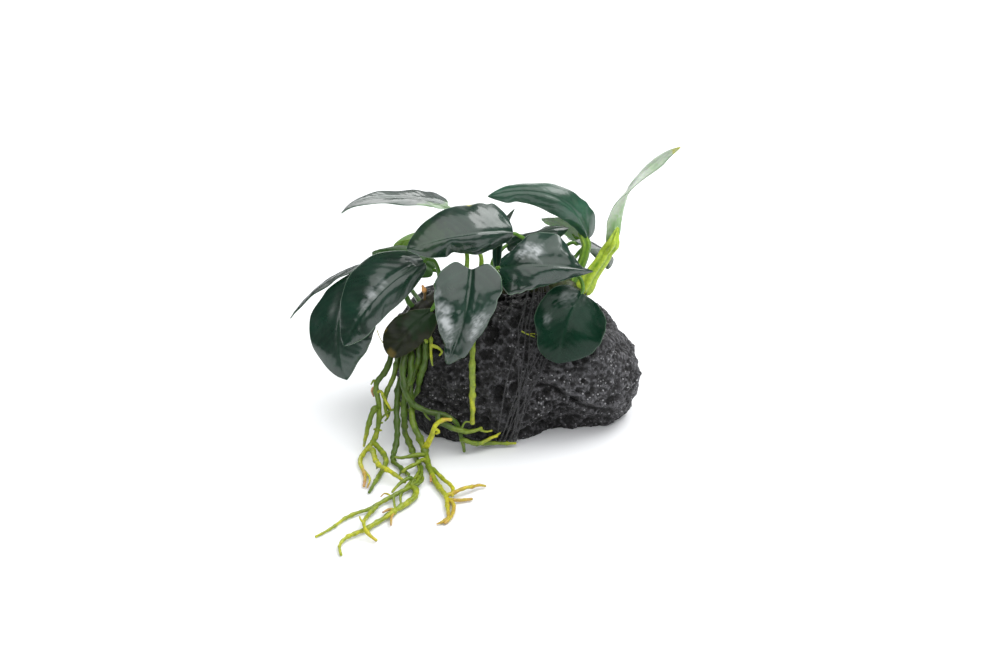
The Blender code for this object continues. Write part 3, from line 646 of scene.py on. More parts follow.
@dataclass(frozen=True)
class LeafFinish(Finish):
    """Skin of a leaf blade."""

    name: str
    deep: Colour
    fresh: Colour
    vein: Colour
    under: Colour
    # edge colour: paler on dark blades as a painted highlight, darker on the young blade
    rim: Colour
    damage: Colour
    flush: Colour = (0.06, 0.17, 0.02)
    # pale film with a painted highlight: the wet blades' whitish sheen, painted into the colour
    bloom: Colour = (0.46, 0.49, 0.49)
    roughness: float = 0.3
    glow: float = 0.0
    coat: float = 0.7
    coat_roughness: float = 0.12
    density: float = 1.55         # index of refraction of the waxy skin
    vein_share: float = 0.4       # how much of the veins' colour shows
    rim_share: float = 0.6        # how much of the edge's tone and painted highlight shows
    dull_below: float = 0.2       # how much rougher the underside is

    def material(self, effects: Effects) -> bpy.types.Material:
        """Make the material.

        Args:
            effects: The shared effects.

        Returns:
            The material.
        """
        made, graph, shader = self.start(self.name, {
            "IOR": self.density, "Coat Weight": self.coat,
            "Coat Roughness": self.coat_roughness, "Subsurface Weight": self.glow,
            "Subsurface Scale": 0.0012, "Subsurface Radius": (0.5, 1.0, 0.25)})
        patches = effects.place(graph, Effect.MOTTLE, Scale=85.0, Detail=3.0, Low=0.3,
                                High=0.7)
        fine = effects.place(graph, Effect.MOTTLE, Scale=900.0, Detail=2.0)
        colour = graph.mix(patches, self.deep, self.fresh)
        veins = graph.times(graph.mark("vein"), self.vein_share)
        colour = graph.mix(veins, colour, self.vein)
        # painted highlight and pale film, mixed into the colour
        colour = graph.mix(graph.mark("bloom"), colour, self.bloom)
        under = graph.mix(graph.times(fine, 0.35), self.under, self.fresh)
        colour = graph.mix(graph.mark("below"), colour, under)
        colour = graph.mix(graph.mark("flush"), colour, self.flush)
        # edge band: a painted highlight along dark blades' edges, a darker edge on the young one
        rim = graph.times(graph.mark("rim"), self.rim_share)
        colour = graph.mix(rim, colour, self.rim)
        colour = graph.mix(graph.mark("damage"), colour, self.damage)
        graph.feed(shader.inputs["Base Color"], colour)
        film = effects.place(graph, Effect.MOTTLE, Scale=160.0, Detail=5.0)
        wear = graph.spread(film, 0.0, 1.0, self.roughness - 0.05, self.roughness + 0.06)
        wear = graph.sum("ADD", wear, graph.times(fine, 0.04))
        dull = graph.times(graph.mark("below"), self.dull_below)
        graph.feed(shader.inputs["Roughness"], graph.sum("ADD", wear, dull))
        skin = effects.place(graph, Effect.RELIEF, Scale=1300.0, Grain=0.6)
        normal = graph.relief(skin, 0.25, 0.03)
        quilt = effects.place(graph, Effect.MOTTLE, Scale=380.0, Detail=3.0, Low=0.25,
                              High=0.75)
        graph.feed(shader.inputs["Normal"], graph.relief(quilt, 0.2, 0.06, normal))
        return made


@dataclass(frozen=True)
class StalkFinish(Finish):
    """Skin of stems, roots and the rhizome, coloured by the age that the mesh holds."""

    name: str
    ages: tuple[tuple[float, Colour], ...]
    spot: Colour
    roughness: float = 0.38
    glow: float = 0.08
    relief_scale: float = 1000.0
    relief_depth: float = 0.06
    spot_share: float = 0.35

    def material(self, effects: Effects) -> bpy.types.Material:
        """Make the material.

        Args:
            effects: The shared effects.

        Returns:
            The material.
        """
        made, graph, shader = self.start(self.name, {
            "IOR": 1.42, "Coat Weight": 0.15, "Coat Roughness": 0.2,
            "Subsurface Weight": self.glow, "Subsurface Scale": 0.001,
            "Subsurface Radius": (0.6, 1.0, 0.2)})
        patches = effects.place(graph, Effect.MOTTLE, Scale=260.0, Detail=4.0)
        fine = effects.place(graph, Effect.MOTTLE, Scale=1100.0, Detail=3.0)
        shifted = graph.sum("ADD", graph.mark("age"),
                            graph.spread(patches, 0.0, 1.0, -0.08, 0.08), clamp=True)
        colour = graph.ramp(shifted, self.ages)
        share = graph.times(fine, self.spot_share)
        graph.feed(shader.inputs["Base Color"], graph.mix(share, colour, self.spot))
        graph.feed(shader.inputs["Roughness"], graph.spread(
            patches, 0.0, 1.0, self.roughness - 0.06, self.roughness + 0.14))
        skin = effects.place(graph, Effect.RELIEF, Scale=self.relief_scale, Grain=0.7)
        graph.feed(shader.inputs["Normal"], graph.relief(skin, 0.6, self.relief_depth))
        return made


@dataclass(frozen=True)
class RockFinish(Finish):
    """Bubbly lava: near black, full of small pores, with pale and glassy grains.

    Its hollows, pores and left side get painted shade, its right side painted light.
    """

    name: str = "lava_rock"
    hollow: Colour = (0.002, 0.002, 0.002)
    body: Colour = (0.008, 0.008, 0.009)
    worn: Colour = (0.140, 0.140, 0.151)
    rust: Colour = (0.018, 0.013, 0.012)
    grain: Colour = (0.42, 0.42, 0.43)

    def material(self, effects: Effects) -> bpy.types.Material:
        """Make the material.

        Args:
            effects: The shared effects.

        Returns:
            The material.
        """
        made, graph, shader = self.start(self.name, {"IOR": 1.5})
        patches = effects.place(graph, Effect.MOTTLE, Scale=42.0, Detail=4.0, Low=0.4,
                                High=0.62)
        fine = effects.place(graph, Effect.MOTTLE, Scale=700.0, Detail=6.0, Low=0.46,
                             High=0.62)
        pale = graph.times(fine, graph.spread(patches, 0.0, 1.0, 0.3, 0.85))
        # this mark holds real wear and the painted light of the stone's right side
        pale = graph.sum("ADD", pale, graph.times(graph.mark("worn"), 0.55), True)
        colour = graph.mix(pale, self.body, self.worn)
        colour = graph.mix(graph.times(patches, 0.3), colour, self.rust)
        pores = effects.place(graph, Effect.SPECKS, Scale=620.0, Size=0.4, Share=0.4)
        small = effects.place(graph, Effect.SPECKS, Scale=1350.0, Size=0.42, Share=0.5)
        holes = graph.sum("ADD", pores, graph.times(small, 0.7), clamp=True)
        # painted shade: the marked hollows, the left side and the small pores go dark
        dark = graph.sum("ADD", graph.mark("depth"), graph.times(holes, 0.75), True)
        colour = graph.mix(dark, colour, self.hollow)
        specks = effects.place(graph, Effect.SPECKS, Scale=1100.0, Size=0.36, Share=0.2)
        specks = graph.times(specks, graph.spread(patches, 0.1, 0.9, 0.15, 1.0))
        open_face = graph.sum("SUBTRACT", 1.0, dark, clamp=True)
        colour = graph.mix(graph.times(specks, open_face), colour, self.grain)
        graph.feed(shader.inputs["Base Color"], colour)
        rough = graph.spread(fine, 0.0, 1.0, 0.75, 0.42)
        graph.feed(shader.inputs["Roughness"], graph.mix_number(specks, rough, 0.25))
        normal = graph.relief(graph.sum("SUBTRACT", 1.0, holes), 0.6, 0.3)
        grit = effects.place(graph, Effect.RELIEF, Scale=1500.0, Grain=1.2)
        graph.feed(shader.inputs["Normal"], graph.relief(grit, 1.0, 0.4, normal))
        return made


@dataclass(frozen=True)
class ThreadFinish(Finish):
    """Dark cotton thread."""

    name: str = "cotton_thread"
    dark: Colour = (0.005, 0.005, 0.006)
    pale: Colour = (0.024, 0.024, 0.026)

    def material(self, effects: Effects) -> bpy.types.Material:
        """Make the material.

        Args:
            effects: The shared effects.

        Returns:
            The material.
        """
        made, graph, shader = self.start(self.name, {"Sheen Weight": 0.3,
                                                     "Sheen Roughness": 0.5})
        fine = effects.place(graph, Effect.MOTTLE, Scale=1600.0, Detail=2.0)
        graph.feed(shader.inputs["Base Color"], graph.mix(fine, self.dark, self.pale))
        graph.feed(shader.inputs["Roughness"], graph.spread(fine, 0.0, 1.0, 0.55, 0.8))
        twist = effects.place(graph, Effect.RELIEF, Scale=4200.0, Grain=0.3)
        graph.feed(shader.inputs["Normal"], graph.relief(twist, 0.7, 0.08))
        return made


# ================================================================ measures they share
GAP = 0.35                    # between a stem or root and what it grows from
CLEARANCE = 0.75              # between stems and roots, and between them and the stone
FINE_STEP = 0.9               # between the points of a line that is settled
STEM = "stem_"
FLOOR_GAP = 0.02              # left under what lies on the floor
# angle round the stone (0 below, 90 in front, 180 on top, 270 behind), the thread
# bundle's place along X there and half the width over which its turns spread
THREAD_FAN = (
    (0, -8.5, 3.3), (60, -1.2, 4.4), (100, 4.5, 7.6), (130, 9.5, 8.2), (180, 9.5, 2.4),
    (240, 3.0, 3.4), (300, -3.5, 3.0), (360, -8.5, 3.3),
)


def fan_place(angles: Array) -> tuple[Array, Array]:
    """Find where the thread's bundle lies at angles round the stone.

    Args:
        angles: Angles in degrees.

    Returns:
        The bundle's place along X and half its width.
    """
    at, middles, spreads = np.array(THREAD_FAN, float).T
    wrapped = np.mod(angles, 360)
    return np.interp(wrapped, at, middles), np.interp(wrapped, at, spreads)


# ================================================================ stone
@dataclass
class Rock:
    """The lump of lava rock that the plant is tied on."""

    middle: Triple = (0.0, 0.0, 21.0)
    half_size: tuple[float, float] = (42.0, 29.0)
    rise: float = 28.0
    depth: float = 34.0
    squareness: float = 2.8
    # azimuth and elevation in degrees, height in mm, spread in degrees
    lumps: tuple[tuple[float, float, float, float], ...] = (
        (-14, -10, 4.5, 26), (0, 30, -7.5, 20), (180, 42, -0.5, 30), (-112, 0, 3.5, 27),
        (-48, -36, -11.0, 22), (-50, 0, 2.5, 14), (-82, 38, -2.0, 14), (75, 12, 2.5, 24),
        (120, -22, -3.5, 17), (150, 8, 2.5, 15), (42, 34, -6.5, 24), (-146, 50, -1.8, 13),
    )
    wrinkle_height: float = 1.15
    pit_count: int = 54
    pit_depth: float = 2.6
    pit_spread: float = 8.0
    channel_depth: float = 2.3
    channel_half_width: float = 4.0
    channel_fade: float = 1.2
    cells: int = 126
    # height, shortest and longest wavelength of the unevenness that only the looks have
    swells: tuple[Triple, ...] = ((0.45, 4.0, 11.0), (0.24, 1.5, 4.0))
    # number, smallest and largest radius of open bubbles
    bubbles: tuple[tuple[int, float, float], ...] = (
        (70, 2.0, 3.6), (480, 1.0, 2.0), (1700, 0.5, 1.0),
    )
    # azimuth, elevation and radius of bubbles that catch the eye at the front
    known_bubbles: tuple[Triple, ...] = (
        (-64.4, -9.9, 1.7), (-62.3, -37.6, 1.8), (-38.9, -27.4, 2.0), (-70.0, -4.0, 1.3),
        (-57.0, -6.0, 1.4), (-52.0, -14.0, 1.6), (-60.0, -20.0, 1.5), (-68.0, -24.0, 1.3),
        (-47.0, -20.0, 1.5), (-55.0, -28.0, 1.4), (-74.0, -14.0, 1.2), (-44.0, -32.0, 1.3),
    )
    # azimuth and elevation of the ledge's foot
    crease_line: tuple[tuple[float, float], ...] = (
        (-76, 7.5), (-66.8, 6.6), (-60, 4.1), (-53.4, -2.9), (-44.9, -9.4), (-32.5, -14.1),
        (-22, -15.5),
    )
    crease_depth: float = 2.6
    crease_width: float = 2.6
    crease_step: float = 2.0
    # the rest of the ledge, in degrees: how far its ends fade, how far under its line the
    # groove lies, over what the step grows, how far down it reaches and over what it fades
    crease_fades: tuple[float, float] = (7.0, 9.0)
    crease_drop: float = 1.5
    step_growth: float = 3.0
    step_reach: float = 24.0
    step_fade: float = 14.0
    # the worn lip over the ledge, in degrees: its fade, its run past the end, its height
    lip_fade: float = 9.0
    lip_overrun: float = 6.0
    lip_height: float = 1.6
    # seed of the bubbles, how steep they are and how full their bowls
    bubble_seed: int = 11
    steepness: tuple[float, float] = (0.55, 1.05)
    known_steepness: float = 1.15
    bowl_fullness: float = 0.6
    swell_seed: int = 20
    swell_waves: int = 40
    # for the finish: rounds of smoothing that give the surroundings' level, the relief at which
    # a hollow's painted shade and an edge's wear are full, and the shares of edge wear, of
    # painted light on the right side and of painted shade on the left side
    level_rounds: int = 14
    hollow_relief: float = 0.45
    worn_relief: float = 0.5
    edge_wear: float = 0.7
    right_wear: float = 0.12
    left_shade: float = 0.4
    # where along X and Z the painted light of the paler right side starts and over what length it
    # grows
    right_start: tuple[float, float] = (-12.0, 4.0)
    right_growth: tuple[float, float] = (36.0, 12.0)

    @staticmethod
    def wrinkle(directions: Array) -> Array:
        """Uneven swell of the rock along directions, between about -1 and 1."""
        x, y, z = directions.T
        coarse = np.sin(7.1 * x + 2.0 * np.sin(4.3 * z)) * np.cos(6.3 * y - 5.1 * z)
        fine = np.sin(13.7 * x - 9.1 * y + 1.0) * np.sin(12.3 * z + 7.9 * y)
        return 0.65 * coarse + 0.5 * fine

    def pits(self, directions: Array) -> Array:
        """Depth of the wide dents along directions, spread evenly by the golden angle."""
        golden = 137.508
        depth = np.zeros(len(directions))
        for number in range(self.pit_count):
            elevation = math.degrees(math.asin(1 - 2 * (number + 0.5) / self.pit_count))
            size = 0.6 + 0.4 * math.sin(number * 2.4)
            middle = direction(number * golden + 8 * math.sin(number), elevation)
            depth += self.pit_depth * size * bump(directions, middle, self.pit_spread * size)
        return depth

    def radius(self, directions: Array) -> Array:
        """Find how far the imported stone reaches.

        Args:
            directions: Unit directions from its middle.

        Returns:
            The distance to its surface along each.
        """
        half_height = np.where(directions[:, 2] > 0, self.rise, self.depth)
        shares = (np.abs(directions[:, 0] / self.half_size[0])**self.squareness
                  + np.abs(directions[:, 1] / self.half_size[1])**self.squareness
                  + np.abs(directions[:, 2] / half_height)**self.squareness)
        radius = shares**(-1 / self.squareness)
        for azimuth, elevation, height, spread in self.lumps:
            radius += height * bump(directions, direction(azimuth, elevation), spread)
        return radius + self.wrinkle_height * self.wrinkle(directions) - self.pits(directions)

    def foot_height(self, points: Array) -> Array:
        """Height of the underside: flat at 0, with a groove for the thread."""
        angles = np.where(points[:, 1] < 0, 60.0, -60.0) * np.minimum(
            np.abs(points[:, 1]) / self.half_size[1], 1)
        beside = np.abs(points[:, 0] - fan_place(angles)[0]) - self.channel_half_width
        return self.channel_depth * np.clip(1 - beside / self.channel_fade, 0, 1)

    def distance(self, points: Array) -> Array:
        """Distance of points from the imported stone, negative inside it."""
        offsets = points - np.array(self.middle)
        reach = np.linalg.norm(offsets, axis=1)
        beyond = reach - self.radius(offsets / reach[:, None])
        return np.maximum(beyond, self.foot_height(points) - points[:, 2])

    def by_ledge(self, directions: Array) -> tuple[Array, Array, Array]:
        """Place directions by the line of the front ledge, in degrees.

        Args:
            directions: Unit directions from the stone's middle.

        Returns:
            How far each is from the line's left end, from its right end, and above it.
        """
        azimuth = np.degrees(np.arctan2(directions[:, 1], directions[:, 0]))
        elevation = np.degrees(np.arcsin(directions[:, 2]))
        at, levels = np.array(self.crease_line).T
        return azimuth - at[0], at[-1] - azimuth, elevation - np.interp(azimuth, at, levels)

    def crease(self, directions: Array) -> Array:
        """Find how deep the crease under the front ledge is.

        Args:
            directions: Unit directions from the stone's middle.

        Returns:
            The depth along each.
        """
        left, right, above = self.by_ledge(directions)
        fade = ease(left / self.crease_fades[0]) * ease(right / self.crease_fades[1])
        off = (above + self.crease_drop) / self.crease_width
        step = (self.crease_step * ease(-above / self.step_growth)
                * ease((self.step_reach + above) / self.step_fade))
        return fade * (self.crease_depth * np.exp(-off**2) + step)

    def ledge_lip(self, directions: Array) -> Array:
        """Find the share of the pale, rubbed lip above the front ledge.

        Args:
            directions: Unit directions from the stone's middle.

        Returns:
            The share along each.
        """
        left, right, above = self.by_ledge(directions)
        fade = (ease((left - self.lip_fade) / self.lip_fade)
                * ease((right + self.lip_overrun) / self.lip_fade))
        return fade * np.exp(-((above - self.lip_height) / self.lip_height)**2)

    def bubble_depth(self, points: Array) -> Array:
        """Dig open bubbles into the surface.

        Args:
            points: Points of the surface.

        Returns:
            How much deeper each point lies.
        """
        tree = KDTree(len(points))
        for index, point in enumerate(points):
            tree.insert(point, index)
        tree.balance()
        random = np.random.default_rng(self.bubble_seed)
        depth = np.zeros(len(points))
        spots = [(direction(azimuth, elevation), reach, self.known_steepness)
                 for azimuth, elevation, reach in self.known_bubbles]
        for count, smallest, largest in self.bubbles:
            sizes = smallest + (largest - smallest) * random.random(count)**2
            ways = unit(random.normal(size=(count, 3)))
            spots += list(zip(ways, sizes, random.uniform(*self.steepness, count)))
        ways = np.array([spot[0] for spot in spots])
        places = np.array(self.middle) + ways * self.radius(ways)[:, None]
        for place, (_, reach, steepness) in zip(places, spots):
            centre, _, _ = tree.find(place)
            found = tree.find_range(centre, reach)
            indices = [index for _, index, _ in found]
            inside = 1 - (np.array([gap for _, _, gap in found]) / reach)**2
            bowl = reach * steepness * np.clip(inside, 0, 1)**self.bowl_fullness
            depth[indices] = np.maximum(depth[indices], bowl)
        return depth

    @staticmethod
    def smoothed(values: Array, faces: Array, rounds: int) -> Array:
        """Average values with those of neighbouring points.

        Args:
            values: One value for each point.
            faces: Corner indices of the faces.
            rounds: How often the average is taken.

        Returns:
            The averaged values.
        """
        first, second = faces.ravel(), np.roll(faces, -1, axis=1).ravel()
        size = len(values)
        count = np.bincount(first, minlength=size) + np.bincount(second, minlength=size)
        for _ in range(rounds):
            values = (np.bincount(first, values[second], size)
                      + np.bincount(second, values[first], size)) / count
        return values

    def marks(self, points: Array, directions: Array, relief: Array) -> dict[str, Array]:
        """Reckon what the finish reads.

        Args:
            points: Points of the surface.
            directions: Their directions from the stone's middle.
            relief: How far each stands out from its surroundings.

        Returns:
            How much painted shade each point has, from its hollow and the darker left side,
            and how pale it is, from real wear and the painted light of the right side.
        """
        # painted light: the right side is made paler
        right = (ease((points[:, 0] - self.right_start[0]) / self.right_growth[0])
                 * ease((points[:, 2] - self.right_start[1]) / self.right_growth[1]))
        # painted shade: hollows, and the left side that the leaves shade, are darkened
        depth = np.clip(-relief / self.hollow_relief, 0, 1) + self.left_shade * (1 - right)
        worn = (self.edge_wear * np.clip(relief / self.worn_relief, 0, 1)**1.5
                + self.ledge_lip(directions) + self.right_wear * right)
        return {"depth": np.clip(depth, 0, 1), "worn": np.clip(worn, 0, 1)}

    def make(self, effects: Effects) -> None:
        """Make the stone.

        Args:
            effects: The shared effects.
        """
        grid = bmesh.new()
        bmesh.ops.create_cube(grid, size=2.0)
        bmesh.ops.subdivide_edges(grid, edges=grid.edges, cuts=self.cells - 1,
                                  use_grid_fill=True)
        grid.verts.index_update()
        cube = np.array([vertex.co[:] for vertex in grid.verts])
        faces = np.array([[vertex.index for vertex in face.verts] for face in grid.faces])
        grid.free()
        directions = unit(np.tan(cube * np.pi / 4))
        radius = self.radius(directions)
        skin = directions * radius[:, None]
        for seed, (height, shortest, longest) in enumerate(self.swells, self.swell_seed):
            waves = Waves(seed, shortest, longest, self.swell_waves)
            radius = radius + height * waves.at(skin)
        radius = radius - self.crease(directions)
        points = np.array(self.middle) + directions * radius[:, None]
        radius = radius - self.bubble_depth(points)
        relief = radius - self.smoothed(radius, faces, self.level_rounds)
        points = np.array(self.middle) + directions * radius[:, None]
        points[:, 2] = np.maximum(points[:, 2], self.foot_height(points))
        form = Form(points, [tuple(face) for face in faces.tolist()],
                    self.marks(points, directions, relief))
        form.make("lava_stone", RockFinish().material(effects), Slot.STONE, ("stone",))


# ================================================================ rhizome
@dataclass
class Rhizome:
    """The creeping stem that leaves and roots grow from."""

    route: tuple[Triple, ...] = (
        (-38.5, -19.0, 38.5), (-33.0, -17.0, 46.5), (-20.0, -12.0, 52.5),
        (0.0, -8.0, 54.0), (14.0, -6.0, 52.8), (24.5, -5.5, 49.5),
    )
    radius: float = 3.6
    scars: int = 15
    scar_depth: float = 0.09      # as a share of the radius
    end_size: float = 0.62        # thickness of its ends, as a share of the radius
    end_growth: float = 3.5       # how fast it thickens from there
    # age at the left end and at the right end; the near-black left end is painted shade
    ages: tuple[float, float] = (1.0, 0.3)
    scar_age: float = 0.2         # how much older the skin is in a scar
    scar_width: float = 0.25
    lumps: float = 0.05
    step: float = 0.4
    sides: int = 40

    def line(self, step: float = FINE_STEP) -> Array:
        """Middle line, with its points one step apart."""
        return smooth_curve(self.route, step)

    def at(self, x: float) -> Array:
        """Point of the middle line at a place along X."""
        line = self.line()
        return np.array([np.interp(x, line[:, 0], line[:, axis]) for axis in range(3)])

    def make(self, finish: bpy.types.Material) -> None:
        """Make the rhizome, ringed by leaf scars.

        Args:
            finish: Its material.
        """
        line = self.line(self.step)
        share = np.linspace(0, 1, len(line))
        rings = np.abs(np.sin(share * np.pi * self.scars))
        ends = np.minimum(1, self.end_size + self.end_growth * np.minimum(share, 1 - share))
        radii = self.radius * ends * (1 - self.scar_depth * rings**0.4)
        # the age falls from the near-black left end, painted shade, to the greener right end
        age = blend(*self.ages, share) + self.scar_age * (rings < self.scar_width)
        body = tube(line, radii, self.sides, age, lumps=self.lumps)
        body.make("rhizome_bark", finish, Slot.RHIZOME, ("rhizome",))


@dataclass
class Sprout:
    """The small orange bud that breaks from the rhizome's left end."""

    rhizome: Rhizome
    place: float = -31.0          # along X on the rhizome
    route: tuple[Triple, ...] = (
        (0, 0, 1.5), (0.2, -0.8, 3.6), (0.3, -1.2, 5.8), (0.1, -1.0, 7.4), (-0.4, -0.7, 8.8),
    )
    radius: float = 0.4
    head: float = 0.5             # how much thicker the head is
    head_at: float = 0.8
    head_length: float = 0.15
    foot: float = 0.3             # how much thicker the foot is
    orange_from: float = 0.55
    orange_growth: float = 0.3
    step: float = 0.3
    sides: int = 20

    def make(self, finish: bpy.types.Material) -> None:
        """Make the sprout.

        Args:
            finish: Its material.
        """
        line = smooth_curve(self.rhizome.at(self.place) + np.array(self.route), self.step)
        share = np.linspace(0, 1, len(line))
        radii = (self.radius + self.head * np.exp(-((share - self.head_at)
                                                    / self.head_length)**2)
                 + self.foot * (1 - share)**2)
        age = ease((share - self.orange_from) / self.orange_growth)
        form = tube(line, radii, self.sides, age, lumps=0.05, ridges=5, ridge_depth=0.06)
        form.make("sprout", finish, Slot.RHIZOME)


# ================================================================ leaf blades
class LeafKind(Enum):
    """Kinds of blade, which differ in colour.

    The shaded kind is a darker copy of the dark kind: painted shade on blades that the
    light leaves dark.
    """

    DARK = "dark"
    GREEN = "green"
    SHADED = "shaded"
    MATT = "matt"
    FRESH = "fresh"
    PALE = "pale"
    OLD = "old"


@dataclass(frozen=True)
class Leaf:
    """One blade and the stem that carries it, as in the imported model."""

    base: Triple
    tip: Triple
    face: Triple              # where its upper side looks
    width: float
    stem_at: float            # X of the stem's start on the rhizome
    arch: float = 4.0         # rise of the midrib over the straight line
    lean: float = 0.0         # the arch is nearer to the tip (+) or to the base (-)
    bow: float = 0.0          # bend of the midrib to its side
    fold: float = 0.12        # rise of the halves over the midrib, per mm of width
    cup: float = 0.25         # droop of the edges, per mm of width
    hook: float = 0.0         # drop of the last of the tip
    wave: float = 0.3         # ripple along the edges
    twist: float = 0.0        # turn of the blade from base to tip, degrees
    lobe: float = 1.5         # reach of the two lobes behind the stem
    stem_radius: float = 0.85
    stem_top: float = 0.6
    stem_rise: float = 0.5    # how far the stem climbs before it bends over
    stem_run: float = 0.35    # how far it follows the blade's own line
    stem_way: tuple[Triple, ...] = ()
    blunt: float = 0.75       # less is a rounder tip
    # rows of a place along the blade and how much of its half width each side keeps
    edges: tuple[Triple, ...] = ()

    @property
    def length(self) -> float:
        """Straight distance from base to tip."""
        return float(np.linalg.norm(np.subtract(self.tip, self.base)))

    def outline(self, along: Array) -> Array:
        """Half width from 0 at the base over 1 at the widest to 0 at the tip."""
        before, after = 0.5, self.blunt
        widest = before / (before + after)
        peak = widest**before * (1 - widest)**after
        return along**before * (1 - along)**after / peak

    def kept(self, along: Array, across: Array) -> Array:
        """Find how much of the half width each side keeps.

        Args:
            along: Places from base to tip.
            across: Places from edge to edge.

        Returns:
            Shares by row and column.
        """
        if not self.edges:
            return np.ones((len(along), len(across)))
        at, one, other = np.array(self.edges).T
        before = np.clip(np.searchsorted(at, along) - 1, 0, len(at) - 2)
        share = ease((along - at[before]) / (at[before + 1] - at[before]))
        one, other = (side[before] + (side[before + 1] - side[before]) * share
                      for side in (one, other))
        return np.where(across[None] < 0, one[:, None], other[:, None])

    def surface(self, along: Array, across: Array, trimmed: bool = False) -> tuple[
            Array, Array, Array]:
        """Lay out the blade's middle surface.

        Args:
            along: Places from 0 at the base to 1 at the tip.
            across: Places from -1 at one edge to 1 at the other.
            trimmed: Let the lobes grow with the blade's width, so that no spur is left.

        Returns:
            Points by row and column, each row's upward direction, and its half width.
        """
        base, tip = np.array(self.base, float), np.array(self.tip, float)
        chord = tip - base
        up = unit(np.array(self.face) - chord * np.dot(self.face, chord)
                  / np.dot(chord, chord))
        side = unit(np.cross(chord, up))
        share = along[:, None]
        hump = 4 * share * (1 - share)
        rib = (base + chord * share + side * self.bow * hump
               + up * (self.arch * hump * (1 + self.lean * (2 * share - 1))
                       - self.hook * share**10))
        ahead = unit(np.gradient(rib, along, axis=0))
        rise = unit(up - ahead * (ahead @ up)[:, None])
        level = np.cross(ahead, rise)
        turn = np.radians(self.twist) * (share - 0.5)
        rise, level = (rise * np.cos(turn) + level * np.sin(turn),
                       level * np.cos(turn) - rise * np.sin(turn))
        half_width = 0.5 * self.width * self.outline(along)[:, None]
        v = across[None, :]
        kept = self.kept(along, across)
        outward = half_width * v * kept
        ripple = self.wave * np.sin(along[:, None] * 17 + 3 * v) * v**2
        droop = self.cup + 0.4 * np.maximum(1 - kept, 0)
        height = half_width * (self.fold * np.abs(v) - droop * v**2) + ripple * hump
        back = self.lobe * np.abs(v)**1.5 * (1 - share)**3
        if trimmed:
            back = back * ease(self.outline(along)[:, None] / 0.45)
        points = (rib[:, None] + level[:, None] * outward[..., None]
                  + rise[:, None] * height[..., None] - ahead[:, None] * back[..., None])
        return points, rise, half_width[:, 0]


